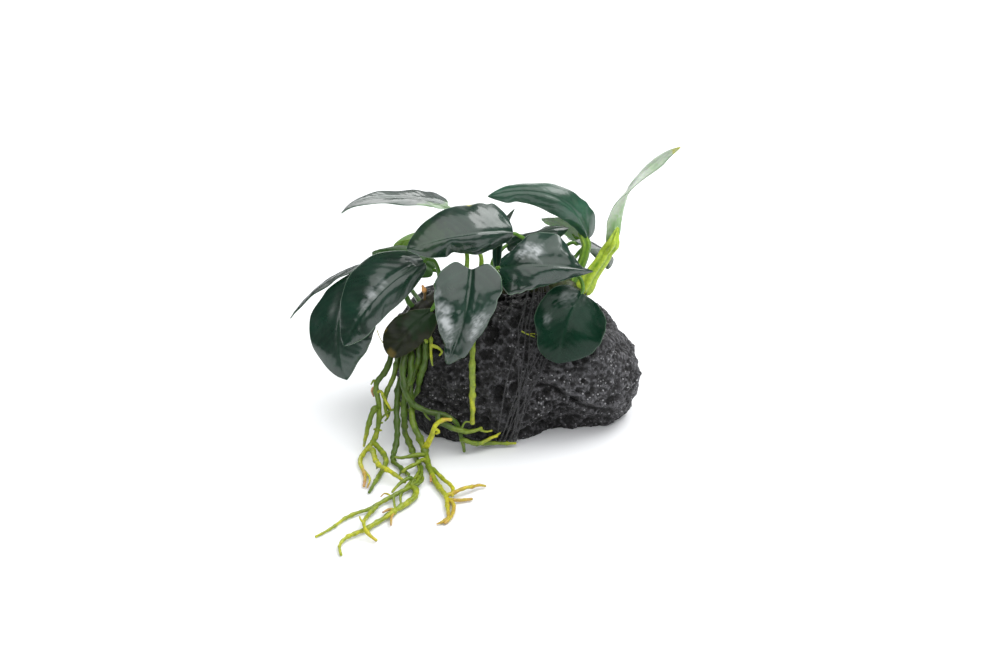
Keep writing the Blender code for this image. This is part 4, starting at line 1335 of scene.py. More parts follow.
LEAVES = {
    "top_left": Leaf((-22.8, 6, 77.8), (-60.1, 2, 80.1), (0, 0.1, 1), 17, -17,
                     arch=2.4, hook=3.6, cup=0.1, stem_way=((-15.9, -7, 64), (-18.5, -1, 71)),
                     edges=(
                         (0.1, 1.2, 2.2), (0.25, 0.8, 1.4), (0.5, 0.9, 1.12),
                         (0.8, 0.9, 1.1), (0.95, 0.8, 1.1))),
    "crown": Leaf((0.1, -12, 75.0), (-36.5, -22, 72.8), (-0.1, -0.75, 0.65), 25, 7,
                  arch=5, cup=0.3, stem_way=((8.5, -8, 63), (5.2, -10.5, 71)), edges=(
                      (0, 0.4, 1.3), (0.1, 0.36, 1.3), (0.2, 0.42, 1.06), (0.35, 0.48, 0.95),
                      (0.5, 0.4, 0.98), (0.6, 0.34, 1.0), (0.7, 0.55, 1.02),
                      (0.9, 0.72, 1.15))),
    "left": Leaf((-30.9, -14, 64.6), (-58.5, -30, 39.8), (-0.35, -0.75, 0.55), 27, -25,
                 arch=5, bow=1.5, edges=(
                     (0.1, 0.36, 1.0), (0.3, 0.42, 1.08), (0.5, 0.4, 1.1), (0.7, 0.5, 1.03),
                     (0.9, 0.75, 0.95))),
    "low_left": Leaf((-52, -6, 56), (-58.4, -22, 22.8), (-0.3, -0.9, 0.3), 26, -35,
                     arch=4, bow=5, wave=0.6, edges=(
                         (0.1, 0.8, 0.7), (0.3, 0.9, 0.78), (0.5, 1.0, 0.96),
                         (0.7, 1.12, 0.98), (0.8, 1.17, 0.96), (0.9, 1.03, 1.0))),
    "far_left": Leaf((-53.4, 3, 56.2), (-79.6, -1, 37.0), (-0.45, 0.25, 0.85), 16, -31,
                     arch=3, stem_way=((-38, 0, 50), (-46, 2.5, 51.5)),
                     edges=((0.2, 1.0, 1.3), (0.8, 1.0, 1.3))),
    "front": Leaf((-14.2, -31, 69.3), (-22.7, -38.5, 37.1), (0, -0.95, 0.3), 24, -14,
                  arch=4, bow=-1.8, lobe=4, fold=0.3, cup=0.35,
                  stem_way=((-14.2, -22, 59), (-14.2, -28, 65)), edges=(
                      (0.1, 1.2, 1.2), (0.2, 1.05, 1.13), (0.3, 0.85, 1.0), (0.5, 0.71, 0.87),
                      (0.7, 0.63, 0.76), (0.9, 0.75, 0.5))),
    "right": Leaf((-4.4, -24, 67), (27.8, -22, 64.6), (0.1, -0.8, 0.6), 25, -4,
                  arch=5, wave=0.9, stem_way=((-4.5, -15, 60), (-6, -21, 65)), edges=(
                      (0.1, 0.68, 1.1), (0.2, 0.8, 0.84), (0.3, 0.92, 0.66), (0.45, 1.0, 0.5),
                      (0.6, 1.02, 0.46), (0.7, 0.9, 0.42), (0.8, 0.7, 0.36),
                      (0.9, 0.25, 0.36))),
    "top_right": Leaf((26.6, 2, 66.6), (-8.2, -4, 85.4), (0.25, -0.8, 0.5), 17, 20,
                      arch=7.5, lean=-0.3, bow=7, hook=1.5, stem_radius=1.4, stem_top=1.5,
                      stem_way=((23.5, -2, 56), (25.6, 0.5, 61.5)), edges=(
                          (0, 0.3, 1.15), (0.1, 0.33, 1.1), (0.2, 0.45, 0.88),
                          (0.3, 0.55, 0.72), (0.5, 0.62, 0.62), (0.7, 0.62, 0.5),
                          (0.8, 0.65, 0.55), (0.9, 1.0, 0.65))),
    "young": Leaf((34.4, -2, 66.2), (58.8, 4, 100.6), (-0.85, 0.1, 0.5), 10.5, 24,
                  arch=6, twist=150, fold=0.3, stem_radius=2.2, stem_top=2.1,
                  stem_way=((28.2, -4, 56.0), (31.6, -3, 60.6)), edges=(
                      (0.1, 1.0, 0.68), (0.2, 0.8, 0.84), (0.4, 1.2, 1.0), (0.6, 0.5, 1.0),
                      (0.8, 0.6, 0.95), (0.9, 0.6, 0.7))),
    "on_stone": Leaf((24, -22, 56.4), (16.1, -33, 34.6), (0.1, -0.95, 0.3), 26, 3,
                     arch=3, bow=2, blunt=0.55, edges=(
                         (0.1, 1.3, 1.0), (0.3, 1.1, 0.9), (0.5, 1.05, 0.88),
                         (0.7, 1.1, 0.76), (0.9, 1.3, 0.9))),
    "pale": Leaf((23.5, 8, 65.0), (10.3, 7, 72.3), (0.2, 0.75, 0.6), 10, 17, arch=2),
    "back_right": Leaf((23, 13, 61), (35, 25, 45), (0.6, 0.5, 0.6), 14, 13.5,
                       stem_way=((15.5, 11, 55), (19.5, 12.5, 60)),
                       edges=((0.2, 1.3, 1.0), (0.6, 1.7, 1.1))),
    "back_left": Leaf((-23.5, 10, 62), (-43, 24, 49.5), (-0.2, 0.3, 0.9), 15, -12,
                      arch=6.5, blunt=0.5, stem_way=((-11, -3, 62.5), (-16, 4, 63))),
    "back_middle": Leaf((-28, -1, 56), (-50, 7, 59.4), (-0.1, -0.5, 0.8), 14, -28,
                        blunt=0.6, edges=((0.3, 1.0, 0.8), (0.9, 1.0, 0.6))),
    "behind": Leaf((-2, 2, 64.5), (20, 5, 69.5), (-0.2, -0.7, 0.7), 14, -7,
                   stem_way=((-7, -3, 60.5),), edges=(
                       (0.1, 0.7, 0.8), (0.3, 0.3, 0.8), (0.5, 0.15, 0.8),
                       (0.7, 0.4, 0.8), (0.9, 0.5, 0.9))),
    "old": Leaf((-28.4, -22, 49.5), (-42.4, -28, 34.6), (-0.2, -0.95, 0.2), 15, -23.5,
                arch=1, bow=1, stem_way=((-24.5, -18, 55.5), (-26.5, -20.8, 52.3)),
                blunt=0.5, edges=((0, 1.0, 0.4), (0.3, 0.95, 0.75), (0.5, 0.8, 0.95),
                                  (0.8, 0.75, 1.05))),
}
BUD = Leaf((-5, -9, 58), (0.8, 0, 79), (0, -1, 0), 3.4, -5, arch=1, bow=-3, fold=0.9, cup=0)


@dataclass(frozen=True)
class Ridge:
    """A fold in a blade, or a groove where its height is negative."""

    start: tuple[float, float]    # along and across
    end: tuple[float, float]
    height: float
    half_width: float


class Tint(Enum):
    """What a patch on a blade does to its colour."""

    DAMAGE = "damage"
    # a pale film with a painted highlight on it
    BLOOM = "bloom"
    FLUSH = "flush"


@dataclass(frozen=True)
class Patch:
    """A patch of another colour on a blade."""

    tint: Tint
    along: float
    across: float
    reach: float                  # radius within which it is at full strength, about
    strength: float = 1.0


@dataclass(frozen=True)
class Dressing:
    """What only the looks of a blade have."""

    kind: LeafKind = LeafKind.DARK
    crinkle: float = 0.1
    veins: float = 0.03
    groove: float = 0.3
    spacing: float = 3.0          # between side veins
    ridges: tuple[Ridge, ...] = ()
    patches: tuple[Patch, ...] = ()
    # width of the band of edge tone and painted highlight
    rim_width: float = 0.28
    # along, across, reach and height of places with short wrinkles
    wrinkles: tuple[tuple[float, float, float, float], ...] = ()


# the left, front, right, young and on_stone blades carry patches of pale film and painted highlight
DRESSINGS = {
    "top_left": Dressing(
        crinkle=0.06, groove=0.4, wrinkles=((0.2, 0.5, 5, 0.05),),
        patches=(Patch(Tint.FLUSH, 0.03, -0.9, 3.2, 0.9), Patch(Tint.FLUSH, 0.13, -0.95, 3.0, 0.9),
                 Patch(Tint.FLUSH, 0.24, -1.0, 2.2, 0.8))),
    "crown": Dressing(
        crinkle=0.12, ridges=(
            Ridge((0.25, -0.75), (0.5, -0.95), 0.7, 0.9),
            Ridge((0.9, -0.6), (1.0, 0.0), 0.3, 1.2)), wrinkles=((0.3, 0.5, 6, 0.04),),
        patches=(Patch(Tint.DAMAGE, 0.36, 1.0, 0.75), Patch(Tint.FLUSH, 0.8, 0.1, 6.0, 0.1))),
    "left": Dressing(
        crinkle=0.12, ridges=(
            Ridge((0.15, 0.1), (0.75, 0.1), 0.5, 1.0), Ridge((0.02, 0.2), (0.12, 0.55), 0.6, 0.7),
            Ridge((0.05, -0.1), (0.1, 0.35), -0.5, 0.6)),
        patches=(Patch(Tint.BLOOM, 0.4, 0.12, 1.7, 0.45),
                 Patch(Tint.BLOOM, 0.52, 0.13, 1.8, 0.55),
                 Patch(Tint.BLOOM, 0.62, 0.12, 1.6, 0.4),
                 Patch(Tint.BLOOM, 0.06, 0.4, 1.5, 0.5))),
    "low_left": Dressing(crinkle=0.15),
    "far_left": Dressing(kind=LeafKind.SHADED),
    "front": Dressing(
        crinkle=0.12, groove=0.6, ridges=(
            Ridge((0.45, 0.2), (0.85, 0.24), 0.55, 0.7),
            Ridge((0.4, 0.42), (0.8, 0.45), -0.35, 0.6),
            Ridge((0.2, -0.25), (0.5, -0.3), 0.35, 1.0),
            Ridge((0.86, -0.9), (0.86, 0.9), 1.8, 4.5)),
        wrinkles=((0.62, 0.65, 5.5, 0.2), (0.6, -0.65, 6, 0.2), (0.35, -0.5, 4, 0.08)),
        patches=(Patch(Tint.BLOOM, 0.48, -0.62, 2.6, 0.7), Patch(Tint.BLOOM, 0.6, -0.6, 2.2, 0.65),
                 Patch(Tint.BLOOM, 0.46, 0.7, 2.6, 0.85), Patch(Tint.BLOOM, 0.58, 0.6, 2.8, 0.95),
                 Patch(Tint.BLOOM, 0.7, 0.45, 1.8, 0.75), Patch(Tint.BLOOM, 0.33, 0.95, 1.4, 0.6))),
    "right": Dressing(
        crinkle=0.12, ridges=(
            Ridge((0.25, -0.35), (0.7, -0.45), 0.5, 1.6), Ridge((0.05, 0.9), (0.9, 0.9), 0.3, 1.0)),
        wrinkles=((0.45, -0.3, 5, 0.1), (0.12, -0.2, 4, 0.06)),
        patches=(Patch(Tint.BLOOM, 0.26, -0.55, 2.5, 0.85),
                 Patch(Tint.BLOOM, 0.36, -0.42, 2.3, 0.9))),
    "top_right": Dressing(kind=LeafKind.GREEN),
    "young": Dressing(
        kind=LeafKind.PALE, crinkle=0.08, veins=0.02, spacing=2.2, rim_width=0.5,
        patches=(Patch(Tint.DAMAGE, 1.0, 0.0, 1.8), Patch(Tint.FLUSH, 0.0, -0.2, 4.0, 0.8),
                 Patch(Tint.FLUSH, 0.15, -0.3, 3.2, 0.8), Patch(Tint.FLUSH, 0.3, -0.4, 2.4, 0.7),
                 Patch(Tint.FLUSH, 0.75, 0.3, 1.6, 0.35), Patch(Tint.BLOOM, 0.35, 0.6, 3.0, 0.6),
                 Patch(Tint.BLOOM, 0.62, 0.0, 2.2, 0.5))),
    "on_stone": Dressing(
        kind=LeafKind.SHADED, crinkle=0.12, ridges=(
            Ridge((0.1, 0.15), (0.3, 0.6), 0.7, 0.8), Ridge((0.16, 0.05), (0.34, 0.4), -0.5, 0.6),
            Ridge((0.45, 0.5), (0.5, 0.75), 0.3, 0.3)),
        wrinkles=((0.2, 0.35, 4, 0.14),),
        patches=(Patch(Tint.BLOOM, 0.5, 0.62, 1.3, 0.28), Patch(Tint.BLOOM, 0.16, 0.4, 2.4, 0.2))),
    "pale": Dressing(kind=LeafKind.PALE, crinkle=0.08, veins=0.03, spacing=2.2),
    "back_right": Dressing(crinkle=0.08),
    "back_left": Dressing(kind=LeafKind.FRESH, crinkle=0.08),
    "back_middle": Dressing(kind=LeafKind.MATT),
    "behind": Dressing(),
    "old": Dressing(kind=LeafKind.OLD, crinkle=0.25, groove=0.4, wrinkles=((0.5, 0.0, 8, 0.08),),
                    patches=(Patch(Tint.DAMAGE, 0.95, 0.2, 1.6), Patch(Tint.DAMAGE, 0.7, 1.0, 0.8),
                             Patch(Tint.FLUSH, 0.2, 0.1, 5.5, 0.9))),
    "bud": Dressing(crinkle=0.05, veins=0.02, spacing=2.0),
}


@dataclass(frozen=True)
class Grid:
    """Places of a blade's mesh, by row and column."""

    length: float
    along: Array                  # a column, from 0 at the base to 1 at the tip
    across: Array                 # a row, from -1 to 1
    half_width: Array             # a column
    points: Array
    seed: int

    def distance(self, along: float, across: float) -> Array:
        """Distance of every place from one of them."""
        return np.hypot((self.along - along) * self.length,
                        (self.across - across) * self.half_width)

    def waves(self, number: int, kind: tuple[float, float, int], points: Array) -> Array:
        """Unevenness of the blade's own, by the number of its kind and at given points."""
        return Waves(self.seed + number, *kind).at(points)

    def ridge(self, ridge: Ridge) -> Array:
        """Find the height that a fold adds.

        Args:
            ridge: The fold.

        Returns:
            Heights by row and column.
        """
        share = ease((self.along - ridge.start[0]) / (ridge.end[0] - ridge.start[0]))
        middle = blend(ridge.start[1], ridge.end[1], share)
        far = np.abs(self.across - middle) * self.half_width
        before = np.maximum(ridge.start[0] - self.along,
                            self.along - ridge.end[0]) * self.length
        far = np.hypot(far, np.maximum(before, 0))
        return ridge.height * np.exp(-(far / ridge.half_width)**2)


@dataclass
class Foliage:
    """All blades, with their veins, crinkles, damaged places, pale film and painted highlights."""

    cell: float = 0.5             # size of the mesh's cells
    middle_half_thickness: float = 0.22
    edge_half_thickness: float = 0.09
    end_fade: float = 1.2         # half width under which the relief fades at the ends
    rib_height: float = 0.5       # the midrib under the blade
    rib_half_width: float = 0.7
    midrib_half_width: float = 0.55   # its groove above the blade
    shoulder_at: float = 1.5      # rise beside the groove
    shoulder_half_width: float = 0.8
    shoulder_height: float = 0.35     # as a share of the groove's depth
    vein_slant: float = 0.7
    vein_curve: float = 0.018
    vein_half_width: float = 0.34
    vein_start: float = 1.2       # from the midrib
    vein_fade: float = 0.25       # share of the half width over which they end
    vein_colour: float = 0.45     # as a share of the midrib's
    quilt: float = 0.6            # height between the veins, as a share of theirs
    # shortest and longest wavelength and number of waves
    crinkle_waves: tuple[float, float, int] = (5.0, 15.0, 20)
    wrinkle_waves: tuple[float, float, int] = (1.0, 2.6, 30)
    streak_waves: tuple[float, float, int] = (0.8, 3.5, 30)
    blot_waves: tuple[float, float, int] = (1.2, 6.0, 30)
    bloom_level: float = 0.62     # how much of the pale film and painted highlight is left where it is broken up
    bloom_change: float = 0.5
    bloom_least: float = 0.15

    def detail(self, grid: Grid, dressing: Dressing) -> dict[str, Array]:
        """Reckon the relief of a blade and what its finish reads.

        Args:
            grid: The blade's places.
            dressing: Its veins and crinkles.

        Returns:
            Arrays by row and column: height, vein, edge tone and painted highlight, and each tint.
        """
        u, v, half_width = grid.along, grid.across, grid.half_width
        reach = half_width * np.abs(v)
        growth = (1 - u)**0.5
        midrib = np.exp(-(reach / self.midrib_half_width)**2) * growth
        shoulder = np.exp(-((reach - self.shoulder_at) / self.shoulder_half_width)**2) * growth
        phase = (u * grid.length - self.vein_slant * reach
                 - self.vein_curve * reach**2) / dressing.spacing
        off = (phase - np.round(phase)) * dressing.spacing
        inner = ease(reach / self.vein_start) * ease((1 - np.abs(v)) / self.vein_fade)
        side_vein = np.exp(-(off / self.vein_half_width)**2) * inner
        quilt = np.cos(2 * np.pi * phase) * inner
        height = (dressing.groove * (self.shoulder_height * shoulder - midrib)
                  - dressing.veins * (side_vein + self.quilt * quilt)
                  + dressing.crinkle * grid.waves(0, self.crinkle_waves, grid.points))
        for ridge in dressing.ridges:
            height = height + grid.ridge(ridge)
        along_veins = np.stack(np.broadcast_arrays(
            phase * dressing.spacing, reach * 0.4, 5 * np.sign(v)), axis=-1)
        if dressing.wrinkles:
            short = grid.waves(1, self.wrinkle_waves, along_veins)
            for place, side, size, rise in dressing.wrinkles:
                far = grid.distance(place, side)
                height = height + rise * short * np.exp(-(far / size)**4)
        edge = (1 - np.abs(v)) * half_width
        # the edge band holds a painted edge highlight on dark blades and the young blade's darker
        # edge
        return {"height": height, "vein": np.maximum(midrib, self.vein_colour * side_vein),
                "rim": np.clip(1.2 - edge / dressing.rim_width, 0, 1),
                **self.tints(grid, dressing.patches, along_veins)}

    def tints(self, grid: Grid, patches: Sequence[Patch], along_veins: Array) -> dict[
            str, Array]:
        """Find how strong each tint is on a blade.

        Args:
            grid: The blade's places.
            patches: The blade's patches.
            along_veins: The places, reckoned along and between its side veins.

        Returns:
            The strengths by name, row and column.
        """
        tints = {tint: np.zeros(grid.points.shape[:2]) for tint in Tint}
        blots = grid.waves(3, self.blot_waves, grid.points)
        for patch in patches:
            far = grid.distance(patch.along, patch.across)
            here = patch.strength * ease(1.6 - far / patch.reach * (1 + 0.3 * blots))
            tints[patch.tint] = np.maximum(tints[patch.tint], here)
        # streaks break up the pale film and painted highlight
        streaks = 0.5 * grid.waves(2, self.streak_waves, along_veins) + 0.7 * blots
        tints[Tint.BLOOM] = tints[Tint.BLOOM] * np.clip(
            self.bloom_level + self.bloom_change * streaks, self.bloom_least, 1)
        return {tint.value: values for tint, values in tints.items()}

    def blade(self, leaf: Leaf, dressing: Dressing) -> Form:
        """Model one blade as a thin closed shell.

        Args:
            leaf: The blade.
            dressing: Its veins and crinkles.

        Returns:
            Its form.
        """
        rows = max(24, round(1.25 * leaf.length / self.cell))
        columns = 2 * max(6, round(0.5 * leaf.width / self.cell))
        along = 0.5 - 0.5 * np.cos(np.linspace(0, np.pi, rows + 1))
        across = np.sin(np.linspace(-0.5, 0.5, columns + 1) * np.pi)
        middle, rise, half_width = leaf.surface(along, across, trimmed=True)
        grid = Grid(leaf.length, along[:, None], across[None, :], half_width[:, None], middle,
                    sum(map(ord, repr(leaf.base))))
        detail = self.detail(grid, dressing)
        ends = ease(half_width / self.end_fade)[:, None]
        middle = middle + rise[:, None] * (detail["height"] * ends)[..., None]
        flank = np.sqrt(1 - across**2)[None, :]
        thick = (self.edge_half_thickness + (self.middle_half_thickness
                 - self.edge_half_thickness) * flank) * np.minimum(1, 4 * flank)
        reach = half_width[:, None] * np.abs(across)[None, :]
        rib = (self.rib_height * np.exp(-(reach / self.rib_half_width)**2)
               * ((1 - along)**0.7)[:, None])
        above = middle + rise[:, None] * thick[..., None]
        below = middle - rise[:, None] * (thick + rib * flank)[..., None]
        inner = slice(1, -1)
        rings = np.concatenate((above[inner], below[inner, -2:0:-1]), axis=1)
        centre = columns // 2
        points, faces = loft(rings, middle[0, centre], middle[-1, centre])
        marks = {}
        for name in ("vein", "rim", *(tint.value for tint in Tint)):
            values = detail[name]
            ring = np.concatenate((values[inner], values[inner, -2:0:-1]), axis=1)
            marks[name] = np.append(ring.ravel(), (0.0, 1.0 if name == "rim" else 0.0))
        under = np.zeros(rings.shape[:2])
        under[:, columns + 1:] = 1.0
        marks["below"] = np.append(under.ravel(), (0.0, 0.0))
        return Form(points, faces, marks)

    def make(self, effects: Effects) -> None:
        """Make all blades.

        Args:
            effects: The shared effects.
        """
        finishes = {kind: finish.material(effects) for kind, finish in LEAF_FINISHES.items()}
        slots = {LeafKind.FRESH: Slot.BLADE_PALE, LeafKind.PALE: Slot.BLADE_PALE,
                 LeafKind.OLD: Slot.BLADE_OLD}
        for name, leaf in {**LEAVES, "bud": BUD}.items():
            dressing = DRESSINGS[name]
            self.blade(leaf, dressing).make(
                f"blade_{name}", finishes[dressing.kind],
                slots.get(dressing.kind, Slot.BLADE), (f"leaf_{name}",))


LEAF_FINISHES = {
    LeafKind.DARK: LeafFinish(
        "anubias_leaf", deep=(0.001, 0.015, 0.007), fresh=(0.003, 0.032, 0.017),
        vein=(0.02, 0.065, 0.03), under=(0.06, 0.16, 0.035), rim=(0.14, 0.24, 0.15),
        damage=(0.42, 0.40, 0.10)),
    LeafKind.GREEN: LeafFinish(
        "bright_leaf", deep=(0.006, 0.042, 0.020), fresh=(0.014, 0.085, 0.045),
        vein=(0.03, 0.11, 0.06), under=(0.06, 0.16, 0.035), rim=(0.14, 0.24, 0.15),
        damage=(0.42, 0.40, 0.10), roughness=0.36, coat=0.6),
    # a darker copy of the dark leaf with less gloss: painted shade
    LeafKind.SHADED: LeafFinish(
        "deep_leaf", deep=(0.0010, 0.014, 0.006), fresh=(0.0020, 0.023, 0.011),
        vein=(0.010, 0.045, 0.022), under=(0.05, 0.13, 0.03), rim=(0.09, 0.16, 0.10),
        damage=(0.42, 0.40, 0.10), roughness=0.24, coat=0.0, density=1.33),
    LeafKind.MATT: LeafFinish(
        "shaded_leaf", deep=(0.018, 0.065, 0.008), fresh=(0.035, 0.115, 0.012),
        vein=(0.06, 0.14, 0.03), under=(0.05, 0.13, 0.02), rim=(0.10, 0.2, 0.05),
        damage=(0.4, 0.4, 0.1), roughness=0.5, coat=0.0, density=1.4),
    LeafKind.FRESH: LeafFinish(
        "fresh_leaf", deep=(0.09, 0.22, 0.008), fresh=(0.15, 0.31, 0.012),
        vein=(0.26, 0.48, 0.05), under=(0.22, 0.42, 0.02), rim=(0.3, 0.5, 0.08),
        damage=(0.4, 0.4, 0.1), roughness=0.45, glow=0.2, coat=0.0, density=1.4),
    LeafKind.PALE: LeafFinish(
        "young_leaf", deep=(0.27, 0.33, 0.25), fresh=(0.50, 0.55, 0.47),
        vein=(0.55, 0.60, 0.50), under=(0.42, 0.48, 0.38), rim=(0.05, 0.10, 0.05),
        damage=(0.34, 0.33, 0.04), flush=(0.20, 0.36, 0.13), bloom=(0.72, 0.74, 0.72),
        roughness=0.36, glow=0.25, coat=0.2, density=1.45),
    LeafKind.OLD: LeafFinish(
        "wilting_leaf", deep=(0.003, 0.007, 0.002), fresh=(0.013, 0.015, 0.003),
        vein=(0.03, 0.04, 0.01), under=(0.05, 0.05, 0.012), rim=(0.07, 0.075, 0.02),
        damage=(0.08, 0.06, 0.010), flush=(0.007, 0.026, 0.006), roughness=0.38, coat=0.0,
        density=1.35),
}


# ================================================================ stems and roots
@dataclass
class Strand:
    """A stem or a root while its line is being settled."""

    name: str
    parent: str
    home: Array               # its points before they are settled
    radii: Array
    held_end: bool
    points: Array = field(init=False)

    def __post_init__(self) -> None:
        """Start from home."""
        self.points = self.home.copy()

    def hold_start(self, line: Array, radii: Array) -> None:
        """Keep the first point beside the nearest point of the parent's line.

        Args:
            line: The parent's line.
            radii: Its radius at each point.
        """
        beside = nearest(line, self.points[0])
        away = unit(self.points[2] - line[beside])
        self.points[0] = line[beside] + away * (radii[beside] + self.radii[0] + GAP)

    def thinned(self) -> Array:
        """Every third point, and the last one."""
        last = len(self.points) - 1
        return self.points[np.unique(np.append(np.arange(0, last + 1, 3), last))]


@dataclass
class StrandField:
    """Settles all stems and roots, so that none cuts into another piece."""

    rock: Rock
    rhizome: Rhizome
    strands: list[Strand]
    rounds: int = 120
    fork_points: int = 5      # points of a branch that may stay close to its parent
    blade_reach: float = 1.6  # left between a strand and the sampled points of a blade
    floor_gap: float = 0.05
    smoothing: float = 0.12   # how strongly each round straightens a line
    homing: float = 0.06      # and pulls it back to its own route
    viewer: Triple = (0.0, -0.906, 0.423)

    @staticmethod
    def pushes(points: Array, others: Array, wanted: Array) -> Array:
        """Find moves that take points away from others.

        Args:
            points: The points that move.
            others: The points that they keep away from.
            wanted: The distance wanted between each two.

        Returns:
            The mean move of each point.
        """
        apart = ((points**2).sum(1)[:, None] + (others**2).sum(1)[None]
                 - 2 * points @ others.T)
        moved, near = np.nonzero(apart < wanted * np.abs(wanted))
        offsets = points[moved] - others[near]
        distances = np.maximum(np.linalg.norm(offsets, axis=1), 0.01)[:, None]
        lacking = wanted[moved, near][:, None] - distances
        moves = np.zeros_like(points)
        counts = np.ones((len(points), 1))
        np.add.at(moves, moved, offsets / distances * lacking)
        np.add.at(counts, moved, 1)
        return moves / counts

    def wanted_distances(self, radii: Array, bounds: Array) -> Array:
        """Find the distances wanted between all strands' points.

        Args:
            radii: Radius at each point of all strands.
            bounds: Index of each strand's first point, and the number of points.

        Returns:
            The distances, with -1 within one strand.
        """
        names = [strand.name for strand in self.strands]
        wanted = radii[:, None] + radii[None] + CLEARANCE
        for index, strand in enumerate(self.strands):
            own = slice(bounds[index], bounds[index + 1])
            wanted[own, own] = -1
            if strand.parent in names:
                fork = slice(bounds[index], bounds[index] + self.fork_points)
                parent = names.index(strand.parent)
                beside = slice(bounds[parent], bounds[parent + 1])
                wanted[fork, beside] -= CLEARANCE - GAP / 2
                wanted[beside, fork] -= CLEARANCE - GAP / 2
        return wanted

    def settle(self, blade_points: Array, blade_owners: Array) -> None:
        """Move the strands' points until they clear everything.

        Args:
            blade_points: Points of all blades.
            blade_owners: Name of the stem that carries each of those points.
        """
        body = self.rhizome.line()
        thickness = np.full(len(body), self.rhizome.radius)
        lines = {strand.name: strand for strand in self.strands}
        radii = np.concatenate([strand.radii for strand in self.strands])
        bounds = np.cumsum([0] + [len(strand.radii) for strand in self.strands])
        to_strands = self.wanted_distances(radii, bounds)
        to_body = np.repeat(radii[:, None] + self.rhizome.radius + GAP, len(body), axis=1)
        to_blades = np.repeat(radii[:, None] + self.blade_reach, len(blade_points), axis=1)
        for index, strand in enumerate(self.strands):
            own = slice(bounds[index], bounds[index + 1])
            to_blades[own, blade_owners == strand.name] = -1
        viewer = np.array(self.viewer)
        for _ in range(self.rounds):
            points = np.vstack([strand.points for strand in self.strands])
            points += self.pushes(points, points, to_strands)
            points += self.pushes(points, blade_points, to_blades)
            lacking = np.maximum(radii + CLEARANCE - self.rock.distance(points), 0)
            points += viewer * lacking[:, None]
            points += self.pushes(points, body, to_body)
            points[:, 2] = np.maximum(points[:, 2], radii + self.floor_gap)
            for strand, fresh in zip(self.strands, np.split(points, bounds[1:-1])):
                fresh[1:-1] += self.smoothing * (fresh[:-2] + fresh[2:] - 2 * fresh[1:-1])
                fresh += self.homing * (strand.home - fresh)
                if strand.held_end:
                    fresh[-1] = strand.home[-1]
                strand.points = fresh
            for strand in self.strands:
                parent = lines.get(strand.parent)
                if parent:
                    strand.hold_start(parent.points, parent.radii)
                else:
                    strand.hold_start(body, thickness)


@dataclass
class Stems:
    """The stems that carry the blades."""

    rhizome: Rhizome
    step: float = 0.5
    sides: int = 16
    buried: float = 0.3           # share of the way out from the rhizome's middle, its start
    under_blade: float = 0.14     # share of the blade that the stem runs on beneath
    below_rib: float = 0.5        # how far beneath
    end_size: float = 0.25        # thickness of its end there, as a share of the full one
    foot_swell: float = 0.35
    foot_length: float = 5.0
    thick_from: float = 1.2       # radius from which a stem has several ridges

    def strand(self, name: str, leaf: Leaf) -> Strand:
        """Plan a stem that climbs from the rhizome and bends into its blade's line.

        Args:
            name: The stem's name.
            leaf: Its blade.

        Returns:
            The unsettled stem.
        """
        start = self.rhizome.at(leaf.stem_at)
        base = np.array(leaf.base, float)
        axis = unit(np.array(leaf.tip) - base)
        arrival = unit(base - leaf.stem_way[-1]) if leaf.stem_way else axis
        end = base - arrival * (GAP + leaf.stem_top + 0.12 * leaf.lobe)
        if leaf.stem_way:
            line = smooth_curve((start, *leaf.stem_way, end), FINE_STEP)
        else:
            line = self.bent_line(start, end, axis, leaf)
        line = line[np.linalg.norm(line - start, axis=1) > self.rhizome.radius]
        points = evenly_spaced(line, FINE_STEP)
        radii = np.linspace(leaf.stem_radius, leaf.stem_top, len(points))
        return Strand(name, "rhizome", points, radii, True)

    @staticmethod
    def bent_line(start: Array, end: Array, axis: Array, leaf: Leaf) -> Array:
        """Draw a stem's line that climbs first and then follows the blade's own line.

        Args:
            start: Where it leaves the rhizome.
            end: Where it meets the blade.
            axis: The blade's own direction.
            leaf: The blade.

        Returns:
            The line's points.
        """
        reach = np.linalg.norm(end - start)
        climb = start + np.array((0, 0, 1.0)) * reach * leaf.stem_rise
        follow = end - axis * reach * leaf.stem_run
        share = np.linspace(0, 1, 40)[:, None]
        return ((1 - share)**3 * start + 3 * (1 - share)**2 * share * climb
                + 3 * (1 - share) * share**2 * follow + share**3 * end)

    def make_stem(self, strand: Strand, leaf: Leaf, finish: bpy.types.Material) -> None:
        """Make one stem, from inside the rhizome to under its blade's midrib.

        Args:
            strand: Its settled line.
            leaf: The blade that it carries.
            finish: Its material.
        """
        body = self.rhizome.line()
        heart = body[nearest(body, strand.points[0])]
        along = np.linspace(0.02, self.under_blade, 4)
        rib, rise, _ = leaf.surface(along, np.zeros(1))
        under = rib[:, 0] - rise * (self.below_rib + leaf.stem_top)
        keep = strand.thinned()
        line = smooth_curve(np.vstack((heart + self.buried * (keep[0] - heart), keep, under)),
                            self.step)
        share = np.linspace(0, 1, len(line))
        length = (len(line) - 1) * self.step
        left = (1 - share) * length / (self.under_blade * leaf.length)
        radii = (blend(leaf.stem_radius, leaf.stem_top, share)
                 * np.clip(blend(self.end_size, 1.0, left), 0, 1)
                 * (1 + self.foot_swell * np.exp(-(share * length / self.foot_length)**2)))
        leaf_name = strand.name.removeprefix(STEM)
        age = blend(*STEM_AGES.get(leaf_name, USUAL_STEM_AGES), share)
        if leaf.stem_radius > self.thick_from:
            form = tube(line, radii, 2 * self.sides, age, **THICK_SKIN)
        else:
            form = tube(line, radii, self.sides, age, **THIN_SKIN)
        form.make(f"petiole_{leaf_name}", finish, Slot.STEM, (strand.name,))


THICK_SKIN = {"lumps": 0.01, "ridges": 5, "ridge_depth": 0.24, "ridge_tone": 0.14}
THIN_SKIN = {"lumps": 0.04}
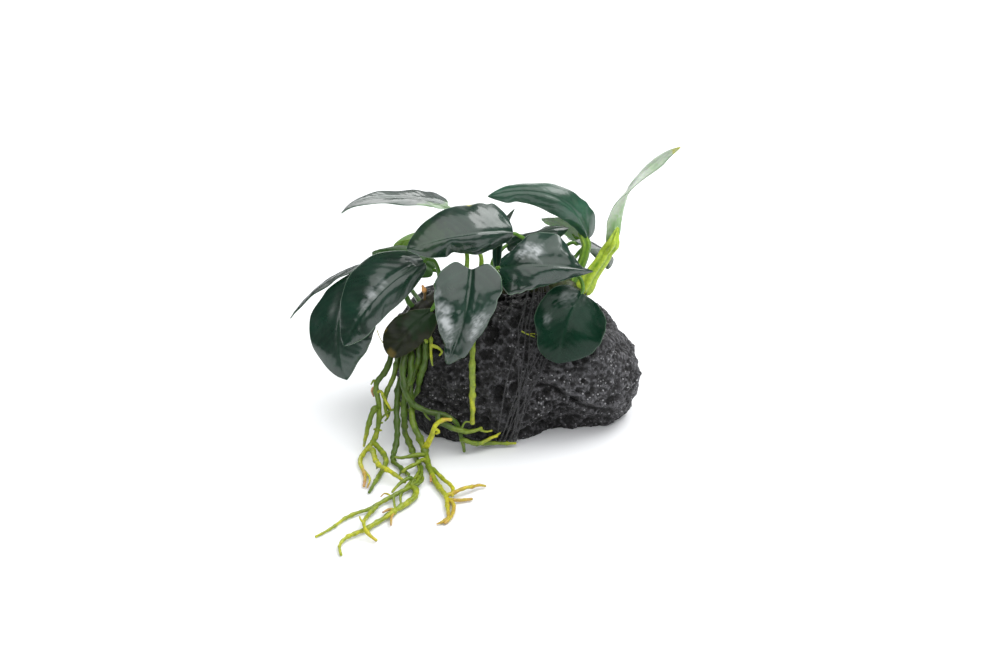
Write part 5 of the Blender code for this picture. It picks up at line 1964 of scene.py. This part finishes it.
# the stems without ages of their own are kept darker: painted shade where they cross the shaded
# space by the rhizome's left end
USUAL_STEM_AGES = (0.15, 0.5)
# age of a stem's skin at the rhizome and at its blade, from 0, dark, to 1, yellow-green
STEM_AGES = {
    "young": (0.95, 1.0), "top_right": (0.5, 0.75), "crown": (0.3, 0.5),
    "front": (0.5, 0.8), "right": (0.4, 0.6), "on_stone": (0.3, 0.4),
    "behind": (0.5, 0.5), "top_left": (0.85, 0.6), "back_left": (0.8, 0.7),
}


@dataclass(frozen=True)
class Root:
    """One unbranched stretch of root, from its parent to its tip."""

    parent: str
    radius: float
    tip_radius: float
    route: tuple[Triple, ...]


ROOTS = {
    "left": Root("rhizome", 1.1, 0.52, (
        (-40, -20, 36), (-43, -21.5, 29.5), (-45, -23, 26), (-48, -24, 23), (-48, -26, 20),
        (-47, -28, 17), (-47, -30, 12), (-48, -32, 6), (-50, -34, 3), (-53, -39, 1.4),
        (-53, -45, 1.2), (-51, -52, 1), (-51, -60, 1))),
    "left_yellow": Root("left", 0.92, 0.46, (
        (-47, -28.5, 17), (-49, -31, 15), (-50.5, -33, 11), (-51.5, -34, 7),
        (-52.5, -31, 1.2))),
    "left_fork": Root("left", 0.98, 0.52, (
        (-49, -33, 4), (-46, -37, 2.4), (-44, -42, 1.4), (-45, -48, 1), (-47, -56, 1),
        (-49, -64, 0.8))),
    "left_slant": Root("left", 0.92, 0.57, (
        (-49.5, -35, 3.2), (-48, -44, 3.6), (-46, -51, 4), (-42, -55, 4),
        (-37, -58.5, 1.8))),
    "left_curl": Root("left", 0.61, 0.4, (
        (-48, -25.5, 21), (-46, -27, 21), (-45, -28, 18), (-43, -29, 15))),
    "second": Root("rhizome", 1.1, 0.57, (
        (-39.3, -21, 35), (-41, -22.5, 29), (-42, -23.5, 24), (-44, -25, 21), (-45, -27, 17),
        (-45, -28, 14), (-44, -29, 12))),
    "inner": Root("rhizome", 1.22, 0.92, (
        (-30, -19, 42), (-31, -22, 34), (-33, -23, 27), (-34, -24, 22), (-36, -25, 17),
        (-37, -27, 13))),
    "bent": Root("rhizome", 1.22, 0.63, (
        (-36.8, -21.5, 34.5), (-38, -23, 28), (-40, -26, 22), (-40.5, -28, 17),
        (-40.5, -31, 12), (-40.5, -34, 7), (-41, -36, 3.5), (-42, -41, 1.6),
        (-39, -47, 1.4), (-36, -52, 1.2))),
    "foot": Root("rhizome", 1.28, 0.57, (
        (-35.5, -23, 37), (-37, -26.5, 29), (-37.5, -30.5, 22), (-35, -31.5, 18),
        (-29, -32, 15),
        (-23, -33, 14.5), (-20, -34, 12), (-18, -35, 8), (-17, -35, 1.4))),
    "crossing": Root("rhizome", 1.22, 0.57, (
        (-31.5, -20.5, 40), (-33, -23, 31), (-35.5, -25.5, 24), (-36, -27, 20),
        (-36, -29.5, 16), (-35, -34, 12), (-33, -36, 8), (-31, -38, 4), (-30, -42, 2.6),
        (-29, -48, 1.8), (-27, -56, 1.6),
        (-25, -62, 1.4), (-22.5, -69, 1.4), (-22, -77, 1.2), (-21.5, -83, 1),
        (-24, -85, 0.9))),
    "far": Root("rhizome", 1.1, 0.4, (
        (-34.3, -22, 35.5), (-36, -26, 29), (-37, -28, 22), (-37.5, -30, 17),
        (-38, -31, 12), (-38, -30, 6),
        (-36, -33, 2.4), (-34, -40, 1.2), (-32, -47, 1.2), (-32, -55, 1.4),
        (-35, -62, 1.8), (-40, -68, 2), (-44, -72, 1.6), (-48, -77, 1.5), (-52, -79, 1.3),
        (-56, -82, 1), (-59, -87, 0.9), (-62, -91, 0.8), (-65, -94, 0.7))),
    "yellow_tip": Root("crossing", 1.04, 0.52, (
        (-31, -39.5, 4.5), (-29, -39, 7), (-28, -39, 10.5), (-27, -38, 13.5),
        (-24, -37, 15), (-21.5, -36.5, 14.5))),
    "yellow_upper": Root("crossing", 0.73, 0.52, (
        (-31.5, -41, 3.6), (-35, -43, 3.6), (-39, -43, 2.6), (-41, -43, 2))),
    "yellow_lower": Root("crossing", 0.73, 0.52, (
        (-30.5, -43, 3), (-33, -48, 3.4), (-36, -50, 2.8), (-38, -52.5, 2.4))),
    "gold_hook": Root("crossing", 0.73, 0.4, (
        (-22, -68.5, 1.6), (-19, -66, 2.4), (-16, -64, 2.6), (-13, -62, 2),
        (-11, -59.5, 1.4), (-9.5, -60, 1))),
    "gold_stub": Root("crossing", 0.67, 0.46, (
        (-21, -70, 1.4), (-18, -70.5, 1.1), (-14, -69, 0.9))),
    "front": Root("far", 0.98, 0.46, (
        (-33, -61, 1.6), (-33, -67, 1.5), (-35, -72, 1.5), (-39, -77, 1.5),
        (-42, -82, 1.5), (-46, -87, 1.5), (-49, -91, 1.5), (-53, -94, 1.5),
        (-56, -98, 1.6), (-57, -101, 1.2), (-56, -106, 0.8))),
    "loop": Root("far", 0.79, 0.46, (
        (-45, -74, 2), (-47.5, -79, 1.8), (-49, -84, 2), (-49.5, -91, 4), (-48, -95, 2.4),
        (-45, -97, 1))),
    "spur": Root("far", 0.73, 0.46, (
        (-33.5, -57, 2.6), (-36, -60, 4), (-39, -63, 3.2), (-41, -66, 2))),
    "ledge": Root("foot", 1.1, 0.52, (
        (-28, -33.5, 14), (-23, -35, 11.5), (-18, -35, 9.5), (-15, -34, 8.2),
        (-11, -33, 9.3))),
    "ledge_fork": Root("foot", 0.92, 0.46, (
        (-18.5, -36.5, 7.5), (-15, -35.5, 5), (-11.5, -34, 3.4), (-8, -32, 5),
        (-5.5, -31.5, 5.5))),
    "ledge_foot": Root("ledge_fork", 0.85, 0.46, (
        (-14.5, -34.5, 4), (-12, -32.6, 3), (-8, -31, 2.4), (-3, -30.2, 1.8), (1, -29.7, 1.6))),
    "aerial": Root("rhizome", 1.16, 0.86, (
        (-15, -16, 49), (-14, -27, 45.5), (-14, -31.5, 41), (-14, -34, 34),
        (-14, -35, 26), (-14, -35, 19), (-14, -35, 12.5))),
    "thin": Root("rhizome", 0.73, 0.34, (
        (-30, -19, 44), (-30, -24, 42), (-29, -25, 38), (-29, -26, 35), (-28, -27, 31))),
}


# age of each root's skin at its start and at its tip, from 0, green, to 1, orange
ROOT_AGES = {
    "left": (0.1, 0.95), "left_yellow": (0.3, 0.75), "left_fork": (0.55, 0.3),
    "left_slant": (0.6, 0.65), "left_curl": (0.5, 0.75), "second": (0.15, 0.5),
    "inner": (0.1, 0.3), "bent": (0.05, 0.35), "foot": (0.1, 0.3), "ledge": (0.15, 0.5),
    "ledge_fork": (0.35, 0.65), "ledge_foot": (0.3, 0.6), "crossing": (0.15, 0.85),
    "gold_hook": (0.8, 0.9), "gold_stub": (0.8, 0.95), "yellow_tip": (0.65, 0.8),
    "yellow_upper": (0.5, 0.4), "yellow_lower": (0.55, 0.45), "far": (0.2, 0.65),
    "front": (0.5, 0.65), "loop": (0.5, 0.8), "spur": (0.35, 0.5), "aerial": (0.35, 0.6),
    "thin": (0.45, 0.55),
}
YELLOW_ROOTS = ("left_yellow", "yellow_tip", "gold_hook", "gold_stub")


@dataclass
class Roots:
    """The roots, with their knots and tips."""

    step: float = 0.45
    sides: int = 14
    lumps: float = 0.12
    # knots: the first one's place, their distance, how far each strays, how much thicker
    # or thinner each is, and its length
    knot_start: float = 3.0
    knot_distance: float = 4.5
    knot_stray: float = 1.5
    knot_swell: tuple[float, float] = (-0.14, 0.36)
    knot_length: float = 0.8
    neck: float = 0.4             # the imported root's radius where it leaves its parent
    neck_length: float = 3.5

    def strand(self, name: str, root: Root) -> Strand:
        """Plan a root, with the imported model's narrow neck.

        Args:
            name: The root's name.
            root: Its route and thickness.

        Returns:
            The unsettled root.
        """
        points = smooth_curve(root.route, FINE_STEP)
        run = np.arange(len(points)) * FINE_STEP
        taper = blend(root.radius, root.tip_radius, (run / run[-1])**2)
        thin = np.minimum(1, self.neck / root.radius + run / self.neck_length)
        return Strand(name, root.parent, points, taper * thin, False)

    def make_root(self, strand: Strand, root: Root, parent_line: Array,
                  finish: bpy.types.Material) -> None:
        """Make one root, from inside its parent to a rounded tip.

        Args:
            strand: Its settled line.
            root: Its thickness.
            parent_line: The settled line of its parent.
            finish: Its material.
        """
        heart = parent_line[nearest(parent_line, strand.points[0])]
        line = smooth_curve(np.vstack((heart, strand.thinned())), self.step)
        share = np.linspace(0, 1, len(line))
        radii = blend(root.radius, root.tip_radius, share**2)
        random = np.random.default_rng(len(strand.name) * 31 + len(line))
        run = share * (len(line) - 1) * self.step
        for place in np.arange(self.knot_start, run[-1] - 1.0, self.knot_distance):
            centre = place + random.uniform(-self.knot_stray, self.knot_stray)
            swell = random.uniform(*self.knot_swell)
            radii = radii * (1 + swell * np.exp(-((run - centre) / self.knot_length)**2))
        age = blend(*ROOT_AGES[strand.name], share**1.4)
        form = tube(line, radii, self.sides, age, lumps=self.lumps)
        form.points[:, 2] = np.maximum(form.points[:, 2], FLOOR_GAP)
        yellow = strand.name in YELLOW_ROOTS
        form.make(f"rootlet_{strand.name}", finish, Slot.ROOT_YELLOW if yellow else Slot.ROOT,
                  (f"root_{strand.name}",))


@dataclass(frozen=True)
class Rootlet:
    """A fine side root, hair or stub."""

    parent: str
    radius: float
    tip_radius: float
    ages: tuple[float, float]
    route: tuple[Triple, ...]


ROOTLETS = (
    Rootlet("left", 0.42, 0.3, (0.9, 1.0), (
        (-48, -24, 21.5), (-49.5, -24.5, 20), (-49, -24.5, 17.5))),
    Rootlet("left", 0.5, 0.3, (0.3, 0.5), ((-48, -24.5, 23), (-49, -24.5, 24), (-50, -24.5, 22.5))),
    Rootlet("second", 0.55, 0.3, (0.3, 0.4), (
        (-45, -26, 15.5), (-43.5, -26.5, 13.5), (-44, -27, 11), (-45, -27, 9.5))),
    Rootlet("bent", 0.45, 0.3, (0.3, 0.35), (
        (-39, -27.5, 14), (-41, -27.5, 13.5), (-42.5, -27.5, 12.5), (-45, -28, 10))),
    Rootlet("left", 0.5, 0.35, (0.5, 0.6), ((-48, -30, 8.5), (-49.2, -30.2, 8))),
    Rootlet("left", 0.5, 0.35, (0.5, 0.6), ((-47, -29, 9.5), (-45.6, -29, 9.5))),
    Rootlet("left", 0.5, 0.35, (0.5, 0.6), ((-47, -30, 7), (-45.6, -30, 7))),
    Rootlet("bent", 0.5, 0.3, (0.3, 0.5), (
        (-40, -28, 18.5), (-39, -29, 17), (-38, -29.5, 15.5), (-37, -29.5, 15),
        (-35.5, -29.5, 14.5))),
    Rootlet("foot", 0.45, 0.28, (0.3, 0.4), ((-31, -33, 17), (-30, -33.5, 15), (-28.5, -34, 13.5))),
    Rootlet("foot", 0.5, 0.3, (0.2, 0.3), (
        (-25.5, -33, 13.5), (-25, -34, 12), (-23, -34.5, 9.5), (-21.5, -34.5, 8),
        (-19.5, -34.5, 8))),
    Rootlet("yellow_tip", 0.6, 0.4, (0.7, 0.75), (
        (-28.5, -39.5, 12.5), (-27.5, -39.5, 12.5), (-26.5, -39.5, 11.5), (-27.5, -39.5, 11))),
    Rootlet("crossing", 0.6, 0.4, (0.8, 0.95), ((-29, -41, 6.5), (-28.5, -41.5, 5))),
    Rootlet("left", 0.5, 0.3, (0.5, 0.9), ((-52, -47, 1), (-49, -54, 0.9), (-49.5, -60, 0.7))),
    Rootlet("left_slant", 0.18, 0.12, (0.3, 0.3), (
        (-48, -49, 3), (-48, -53, 2.5), (-47.5, -51, 2.5), (-46.5, -51.5, 2.5))),
    Rootlet("bent", 0.5, 0.28, (0.2, 0.3), (
        (-40, -48.5, 2.5), (-40, -51.5, 2.5), (-40.5, -54, 2.2))),
    Rootlet("far", 0.35, 0.2, (0.7, 0.9), (
        (-40.5, -69.5, 3), (-41.5, -68.5, 3.4), (-43, -68, 3.4), (-44, -69.5, 3))),
    Rootlet("front", 0.5, 0.3, (0.8, 1.0), ((-41, -76, 2.5), (-43.5, -76, 2.5), (-45.5, -78, 2.5))),
    Rootlet("front", 0.5, 0.3, (0.2, 0.3), ((-42, -79, 2), (-43.5, -79.5, 2), (-45, -82, 1.8))),
    Rootlet("front", 0.55, 0.3, (0.75, 1.0), ((-40, -78, 1.5), (-41, -82, 1.3), (-41, -87, 1))),
    Rootlet("loop", 0.35, 0.25, (0.6, 0.8), (
        (-48.5, -90.5, 2), (-49.5, -89, 2.5), (-50, -87, 2.5))),
    Rootlet("crossing", 0.8, 0.6, (0.45, 0.75), (
        (-29, -47.5, 2), (-26.5, -51.5, 2), (-23.5, -57.5, 2), (-20.5, -63, 2),
        (-20.5, -68, 1.6))),
    Rootlet("crossing", 0.55, 0.35, (0.8, 0.95), (
        (-28.5, -51.5, 1.5), (-28.5, -54.5, 1.5), (-28.5, -57.5, 1.3))),
    Rootlet("crossing", 0.75, 0.5, (0.75, 0.85), (
        (-21.8, -69, 1.5), (-20, -71.5, 1.5), (-19.2, -75.5, 1.4), (-20, -81, 1.2),
        (-22, -85, 1))),
    Rootlet("far", 0.6, 0.4, (0.4, 0.5), (
        (-34.5, -62.5, 3), (-33, -58.5, 4), (-31.5, -52.5, 4), (-32, -48, 3.6))),
    Rootlet("far", 0.6, 0.4, (0.3, 0.45), (
        (-35, -62.5, 3), (-32, -61, 3.4), (-30.5, -56.5, 3), (-31.5, -52, 2.6))),
    Rootlet("far", 0.55, 0.4, (0.45, 0.5), ((-37, -64.5, 3), (-35, -59.5, 3.6), (-32.5, -55, 3.4))),
    Rootlet("far", 0.5, 0.35, (0.4, 0.6), ((-40.5, -69, 3), (-40, -73.5, 3), (-39.5, -77.5, 2.6))),
    Rootlet("far", 0.55, 0.35, (0.35, 0.5), ((-37, -66, 2.5), (-37.5, -71, 3), (-37, -77, 2.4))),
    Rootlet("ledge", 0.45, 0.3, (0.4, 0.6), ((-12, -33, 9.3), (-9.5, -32.4, 8), (-7.5, -32, 8.2))),
    Rootlet("ledge", 0.4, 0.3, (0.3, 0.5), (
        (-18, -35, 10), (-16.5, -34.8, 13), (-14.5, -34.5, 13))),
    Rootlet("ledge_fork", 0.4, 0.25, (0.5, 0.6), ((-6.5, -31.8, 5.4), (-4.5, -31.4, 6.6))),
    Rootlet("crossing", 0.45, 0.3, (0.8, 0.9), ((-23.5, -84.8, 1), (-25.5, -86, 0.8))),
    Rootlet("left", 0.16, 0.12, (0.7, 0.75), (
        (-40, -20, 36), (-43.5, -22.5, 37.5), (-45.5, -23, 40.5), (-46.5, -22.5, 43.5))),
    Rootlet("thin", 0.55, 0.35, (0.55, 0.65), (
        (-29.5, -25, 38), (-27, -26, 37.5), (-25.6, -26, 36), (-26.4, -26, 34.6))),
    Rootlet("thin", 0.9, 0.6, (0.4, 0.5), (
        (-30, -24.5, 41.5), (-31, -26, 40.5), (-30.6, -26.5, 39.5))),
    Rootlet("stone", 0.3, 0.15, (0.62, 0.5), ((4, -28, 47.5), (7, -28, 45.5), (10, -28, 44))),
    Rootlet("stone", 0.25, 0.12, (0.62, 0.6), ((7, -28, 46), (9.5, -28, 46), (11.5, -28, 45))),
)


@dataclass
class FineRoots:
    """All fine rootlets, joined in one piece."""

    rock: Rock
    step: float = 0.35
    sides: int = 8
    lumps: float = 0.14

    def form(self, rootlet: Rootlet, parents: dict[str, Array]) -> Form:
        """Model one rootlet, moved so that it starts inside its parent.

        Args:
            rootlet: Its route and thickness.
            parents: The settled lines of the roots.

        Returns:
            Its form.
        """
        route = np.array(rootlet.route, float)
        if rootlet.parent in parents:
            line = parents[rootlet.parent]
            route = route + (line[nearest(line, route[0])] - route[0])
        else:
            ways = unit(route - np.array(self.rock.middle))
            reach = self.rock.radius(ways) + rootlet.radius
            route = np.array(self.rock.middle) + ways * reach[:, None]
        line = smooth_curve(route, self.step)
        share = np.linspace(0, 1, len(line))
        radii = blend(rootlet.radius, rootlet.tip_radius, share**1.5)
        form = tube(line, radii, self.sides, blend(*rootlet.ages, share), lumps=self.lumps)
        form.points[:, 2] = np.maximum(form.points[:, 2], FLOOR_GAP)
        return form

    def make(self, parents: dict[str, Array], finish: bpy.types.Material) -> None:
        """Make the piece.

        Args:
            parents: The settled lines of the roots.
            finish: Its material.
        """
        first, *others = [self.form(rootlet, parents) for rootlet in ROOTLETS]
        first.joined(others).make("fine_rootlets", finish, Slot.ROOT)


# ================================================================ thread
@dataclass
class Winding:
    """The dark thread that ties the plant on."""

    rock: Rock
    rhizome: Rhizome
    radius: float = 0.17
    turns: int = 12
    points_each: int = 120        # on each turn
    # angles at which each turn takes a new place in the bundle
    crossings: tuple[float, ...] = (40.0, 135.0, 270.0)
    foot: float = 0.45
    foot_reach: float = 26.6
    clearance: float = 0.45
    slack: float = 0.12
    slack_rhythm: float = 2.7
    floor_gap: float = 0.05
    seed: int = 5
    planes: Triple = (-20.0, 24.0, 0.5)   # first, end and distance along X
    spoke_step: float = 5.0       # degrees
    halvings: int = 12
    end_step: float = 0.6
    sides: int = 6
    loose_ends: tuple[tuple[Triple, ...], ...] = (
        ((-6.0, -28.4, 1.0), (-11.0, -30.4, 2.4), (-15.5, -31.0, 4.6), (-16.6, -31.0, 5.6),
         (-17.5, -31.0, 4.3), (-20.0, -31.0, 3.9), (-22.0, -31.0, 4.2), (-23.5, -31.0, 6.5),
         (-24.0, -30.6, 8.5)),
        ((-0.3, -25.6, 0.4), (-2.6, -28.0, 0.3), (-5.0, -27.6, 0.3), (-6.2, -26.5, 0.4)),
    )

    def section(self, places: Array, angles: Array) -> Array:
        """Find the stone's skin in planes across its long side.

        Args:
            places: Places of the planes along X.
            angles: Angles round the stone, in radians.

        Returns:
            Distance of the skin from the stone's middle for each place and angle.
        """
        near = np.zeros(len(places))
        far = np.full(len(places), 2.0 * self.rock.half_size[0])
        middle = self.rock.middle
        spokes = np.stack((np.zeros(len(angles)), -np.sin(angles), -np.cos(angles)), axis=1)
        starts = np.stack((places, np.full(len(places), middle[1]),
                           np.full(len(places), middle[2])), axis=1)
        for _ in range(self.halvings):
            half = (near + far) / 2
            outside = self.rock.distance(starts + spokes * half[:, None]) > 0
            far = np.where(outside, half, far)
            near = np.where(outside, near, half)
        return (near + far) / 2

    def supports(self) -> tuple[Array, Array, Array]:
        """Find how far a tight band stands off in planes across the stone.

        Returns:
            The planes' places along X, the spokes' angles and the distance for each.
        """
        places = np.arange(*self.planes)
        spokes = np.radians(np.arange(0, 360, self.spoke_step))
        skin = self.section(np.repeat(places, len(spokes)), np.tile(spokes, len(places)))
        skin = skin.reshape(len(places), len(spokes))
        reach = (skin[:, None] * np.cos(spokes[:, None] - spokes[None])[None]).max(axis=2)
        body = self.rhizome.line()
        across = [np.interp(places, body[:, 0], body[:, axis]) for axis in (1, 2)]
        rise = self.rock.middle[2] - across[1]
        over = (rise[:, None] * np.cos(spokes) - across[0][:, None] * np.sin(spokes)
                + self.rhizome.radius)
        support = np.maximum(reach, over) + self.clearance + self.radius
        under = ((self.rock.middle[2] - self.foot) * np.cos(spokes)
                 + self.foot_reach * np.abs(np.sin(spokes)))
        return places, spokes, np.where(np.cos(spokes) > 0, np.maximum(support, under),
                                        support)

    def line(self) -> Array:
        """Lay the thread round stone and rhizome, with turns that cross each other.

        Returns:
            Its points.
        """
        turns = np.linspace(0, self.turns, self.turns * self.points_each + 1)
        random = np.random.default_rng(self.seed)
        offsets = np.array([random.permutation(np.linspace(-1, 1, self.turns + 1))
                            for _ in self.crossings]).T
        knots = np.arange(self.turns + 1)[:, None] + np.array(self.crossings) / 360
        middles, spreads = fan_place(turns * 360)
        places = middles + spreads * np.interp(turns, knots.ravel(), offsets.ravel())
        angles = turns * 2 * np.pi
        planes, spokes, support = self.supports()
        index = np.clip((places - planes[0]) / (planes[1] - planes[0]), 0,
                        len(planes) - 1.001)
        low = index.astype(int)
        share = (index - low)[:, None]
        here = support[low] * (1 - share) + support[low + 1] * share
        facing = np.cos(angles[:, None] - spokes[None])
        radius = np.where(facing > 0.2, here / np.maximum(facing, 0.2), np.inf).min(axis=1)
        radius = radius + self.slack * np.sin(turns * self.slack_rhythm) + self.slack
        line = np.stack((places, -np.sin(angles) * radius,
                         self.rock.middle[2] - np.cos(angles) * radius), axis=1)
        line[:, 2] = np.maximum(line[:, 2], self.radius + self.floor_gap)
        return evenly_spaced(line, FINE_STEP)

    def make(self, effects: Effects) -> None:
        """Make the winding and its two loose ends.

        Args:
            effects: The shared effects.
        """
        lines = [self.line(), *(smooth_curve(route, self.end_step) for route in self.loose_ends)]
        form, *ends = [tube(line, np.full(len(line), self.radius), self.sides)
                       for line in lines]
        form.joined(ends).make("cotton_winding", ThreadFinish().material(effects),
                               Slot.THREAD, ("thread",))


# ================================================================ studio
@dataclass(frozen=True)
class SoftLight:
    """A flat soft light that faces the plant."""

    name: str
    place: Triple
    size: tuple[float, float]
    power: float                  # watts


@dataclass
class Studio:
    """Floor, lights and camera of a plain, bright studio."""

    target: Triple = (-4.4, 0.0, 30.8)
    distance: float = 850.0
    elevation: float = 25.0
    lens: float = 85.0
    sensor: float = 36.0
    floor_size: float = 12000.0
    floor_drop: float = 0.03      # under the stone's foot
    floor_colour: Colour = (0.86, 0.87, 0.88)
    floor_roughness: float = 0.6
    lights: tuple[SoftLight, ...] = (
        SoftLight("overhead_softbox", (110, -420, 800), (1350, 1300), 9.0),
        SoftLight("right_softbox", (500, 200, 760), (640, 460), 4.6),
        SoftLight("back_panel", (-100, 1000, 640), (1700, 680), 9.0),
    )
    # the even light all round, which is weaker where a surface mirrors it
    ambient_colour: Colour = (0.96, 0.97, 1.0)
    ambient: float = 0.55
    ambient_mirrored: float = 0.08

    def make_floor(self) -> None:
        """Lay the plain white floor."""
        half = self.floor_size / 2
        mesh = bpy.data.meshes.new("floor")
        mesh.from_pydata([(x * half * MM, y * half * MM, -self.floor_drop * MM)
                          for x, y in ((-1, -1), (1, -1), (1, 1), (-1, 1))], [], [(0, 1, 2, 3)])
        floor = bpy.data.objects.new("floor", mesh)
        bpy.context.scene.collection.objects.link(floor)
        material = bpy.data.materials.new("white_floor")
        material.use_nodes = True
        shader = material.node_tree.nodes["Principled BSDF"]
        shader.inputs["Base Color"].default_value = (*self.floor_colour, 1.0)
        shader.inputs["Roughness"].default_value = self.floor_roughness
        mesh.materials.append(material)

    def add_light(self, soft: SoftLight) -> None:
        """Hang a light.

        Args:
            soft: Its place, size and power.
        """
        light = bpy.data.lights.new(soft.name, "AREA")
        light.shape = "RECTANGLE"
        light.size, light.size_y = soft.size[0] * MM, soft.size[1] * MM
        light.energy = soft.power
        holder = bpy.data.objects.new(soft.name, light)
        bpy.context.scene.collection.objects.link(holder)
        holder.location = Vector(soft.place) * MM
        way = Vector(self.target) * MM - holder.location
        holder.rotation_euler = way.to_track_quat("-Z", "Y").to_euler()

    def make_lights(self) -> None:
        """Hang the lights and set the even light around them."""
        for soft in self.lights:
            self.add_light(soft)
        world = bpy.data.worlds.new("even_light")
        bpy.context.scene.world = world
        world.use_nodes = True
        background = world.node_tree.nodes["Background"]
        background.inputs["Color"].default_value = (*self.ambient_colour, 1.0)
        graph = Graph(world.node_tree)
        mirrored = graph.add("ShaderNodeLightPath").outputs["Is Glossy Ray"]
        graph.feed(background.inputs["Strength"],
                   graph.mix_number(mirrored, self.ambient, self.ambient_mirrored))
        bpy.context.scene.view_settings.view_transform = "Standard"

    def make_camera(self) -> None:
        """Set up the camera at the photograph's angle."""
        camera = bpy.data.cameras.new("camera")
        camera.lens = self.lens
        camera.sensor_width = self.sensor
        camera.clip_start = 0.01
        holder = bpy.data.objects.new("camera", camera)
        bpy.context.scene.collection.objects.link(holder)
        tilt = math.radians(self.elevation)
        back = Vector((0.0, -math.cos(tilt), math.sin(tilt)))
        holder.location = (Vector(self.target) + back * self.distance) * MM
        holder.rotation_euler = (-back).to_track_quat("-Z", "Y").to_euler()
        bpy.context.scene.camera = holder


# ================================================================ the whole
STEM_FINISH = StalkFinish(
    "leaf_stem", ages=((0.0, (0.02, 0.055, 0.008)), (0.4, (0.07, 0.18, 0.015)),
                       (0.75, (0.20, 0.36, 0.025)), (1.0, (0.46, 0.60, 0.05))),
    spot=(0.06, 0.14, 0.015), roughness=0.32)
ROOT_FINISH = StalkFinish(
    "plant_root", ages=((0.0, (0.022, 0.052, 0.012)), (0.25, (0.07, 0.14, 0.016)),
                        (0.5, (0.22, 0.30, 0.02)), (0.72, (0.54, 0.54, 0.015)),
                        (0.88, (0.52, 0.34, 0.04)), (1.0, (0.50, 0.26, 0.13))),
    spot=(0.07, 0.075, 0.012), roughness=0.34, glow=0.1, spot_share=0.4)
# age 1, at the rhizome's left end, is near black: painted shade
BARK_FINISH = StalkFinish(
    "rhizome_bark", ages=((0.0, (0.05, 0.10, 0.013)), (0.5, (0.045, 0.05, 0.013)),
                          (1.0, (0.008, 0.008, 0.005))),
    spot=(0.012, 0.010, 0.006), roughness=0.5, glow=0.0, relief_depth=0.15, spot_share=0.5)
SPROUT_FINISH = StalkFinish(
    "sprout_skin", ages=((0.0, (0.02, 0.035, 0.006)), (0.5, (0.12, 0.08, 0.015)),
                         (1.0, (0.62, 0.30, 0.09))),
    spot=(0.3, 0.12, 0.03), roughness=0.45)


def settled_strands(rock: Rock, rhizome: Rhizome, stems: Stems, roots: Roots) -> list[Strand]:
    """Plan all stems and roots and settle them among the blades.

    Args:
        rock: The stone.
        rhizome: The rhizome.
        stems: The stems' measures.
        roots: The roots' measures.

    Returns:
        The settled stems and roots.
    """
    along, across = np.linspace(0, 1, 13), np.linspace(-1, 1, 7)
    samples = {f"{STEM}{name}": leaf.surface(along, across)[0].reshape(-1, 3)
               for name, leaf in LEAVES.items()}
    owners = np.repeat(list(samples), [len(points) for points in samples.values()])
    strands = [stems.strand(f"{STEM}{name}", leaf) for name, leaf in LEAVES.items()]
    strands += [roots.strand(name, root) for name, root in ROOTS.items()]
    StrandField(rock, rhizome, strands).settle(np.vstack(list(samples.values())), owners)
    return strands


def main() -> None:
    """Build the stage and every piece."""
    logging.basicConfig(level=logging.INFO, format="%(name)s: %(message)s")
    studio = Studio()
    studio.make_camera()
    studio.make_floor()
    studio.make_lights()
    effects = Effects()
    rock = Rock()
    rhizome = Rhizome()
    rock.make(effects)
    rhizome.make(BARK_FINISH.material(effects))
    Sprout(rhizome).make(SPROUT_FINISH.material(effects))
    Foliage().make(effects)

    stems, roots = Stems(rhizome), Roots()
    strands = settled_strands(rock, rhizome, stems, roots)
    lines = {strand.name: strand.points for strand in strands}
    lines["rhizome"] = rhizome.line()
    stem_skin, root_skin = STEM_FINISH.material(effects), ROOT_FINISH.material(effects)
    for strand in strands:
        if strand.held_end:
            stems.make_stem(strand, LEAVES[strand.name.removeprefix(STEM)], stem_skin)
        else:
            roots.make_root(strand, ROOTS[strand.name], lines[strand.parent], root_skin)
    FineRoots(rock).make(lines, root_skin)
    Winding(rock, rhizome).make(effects)


if __name__ == "__main__":
    main()
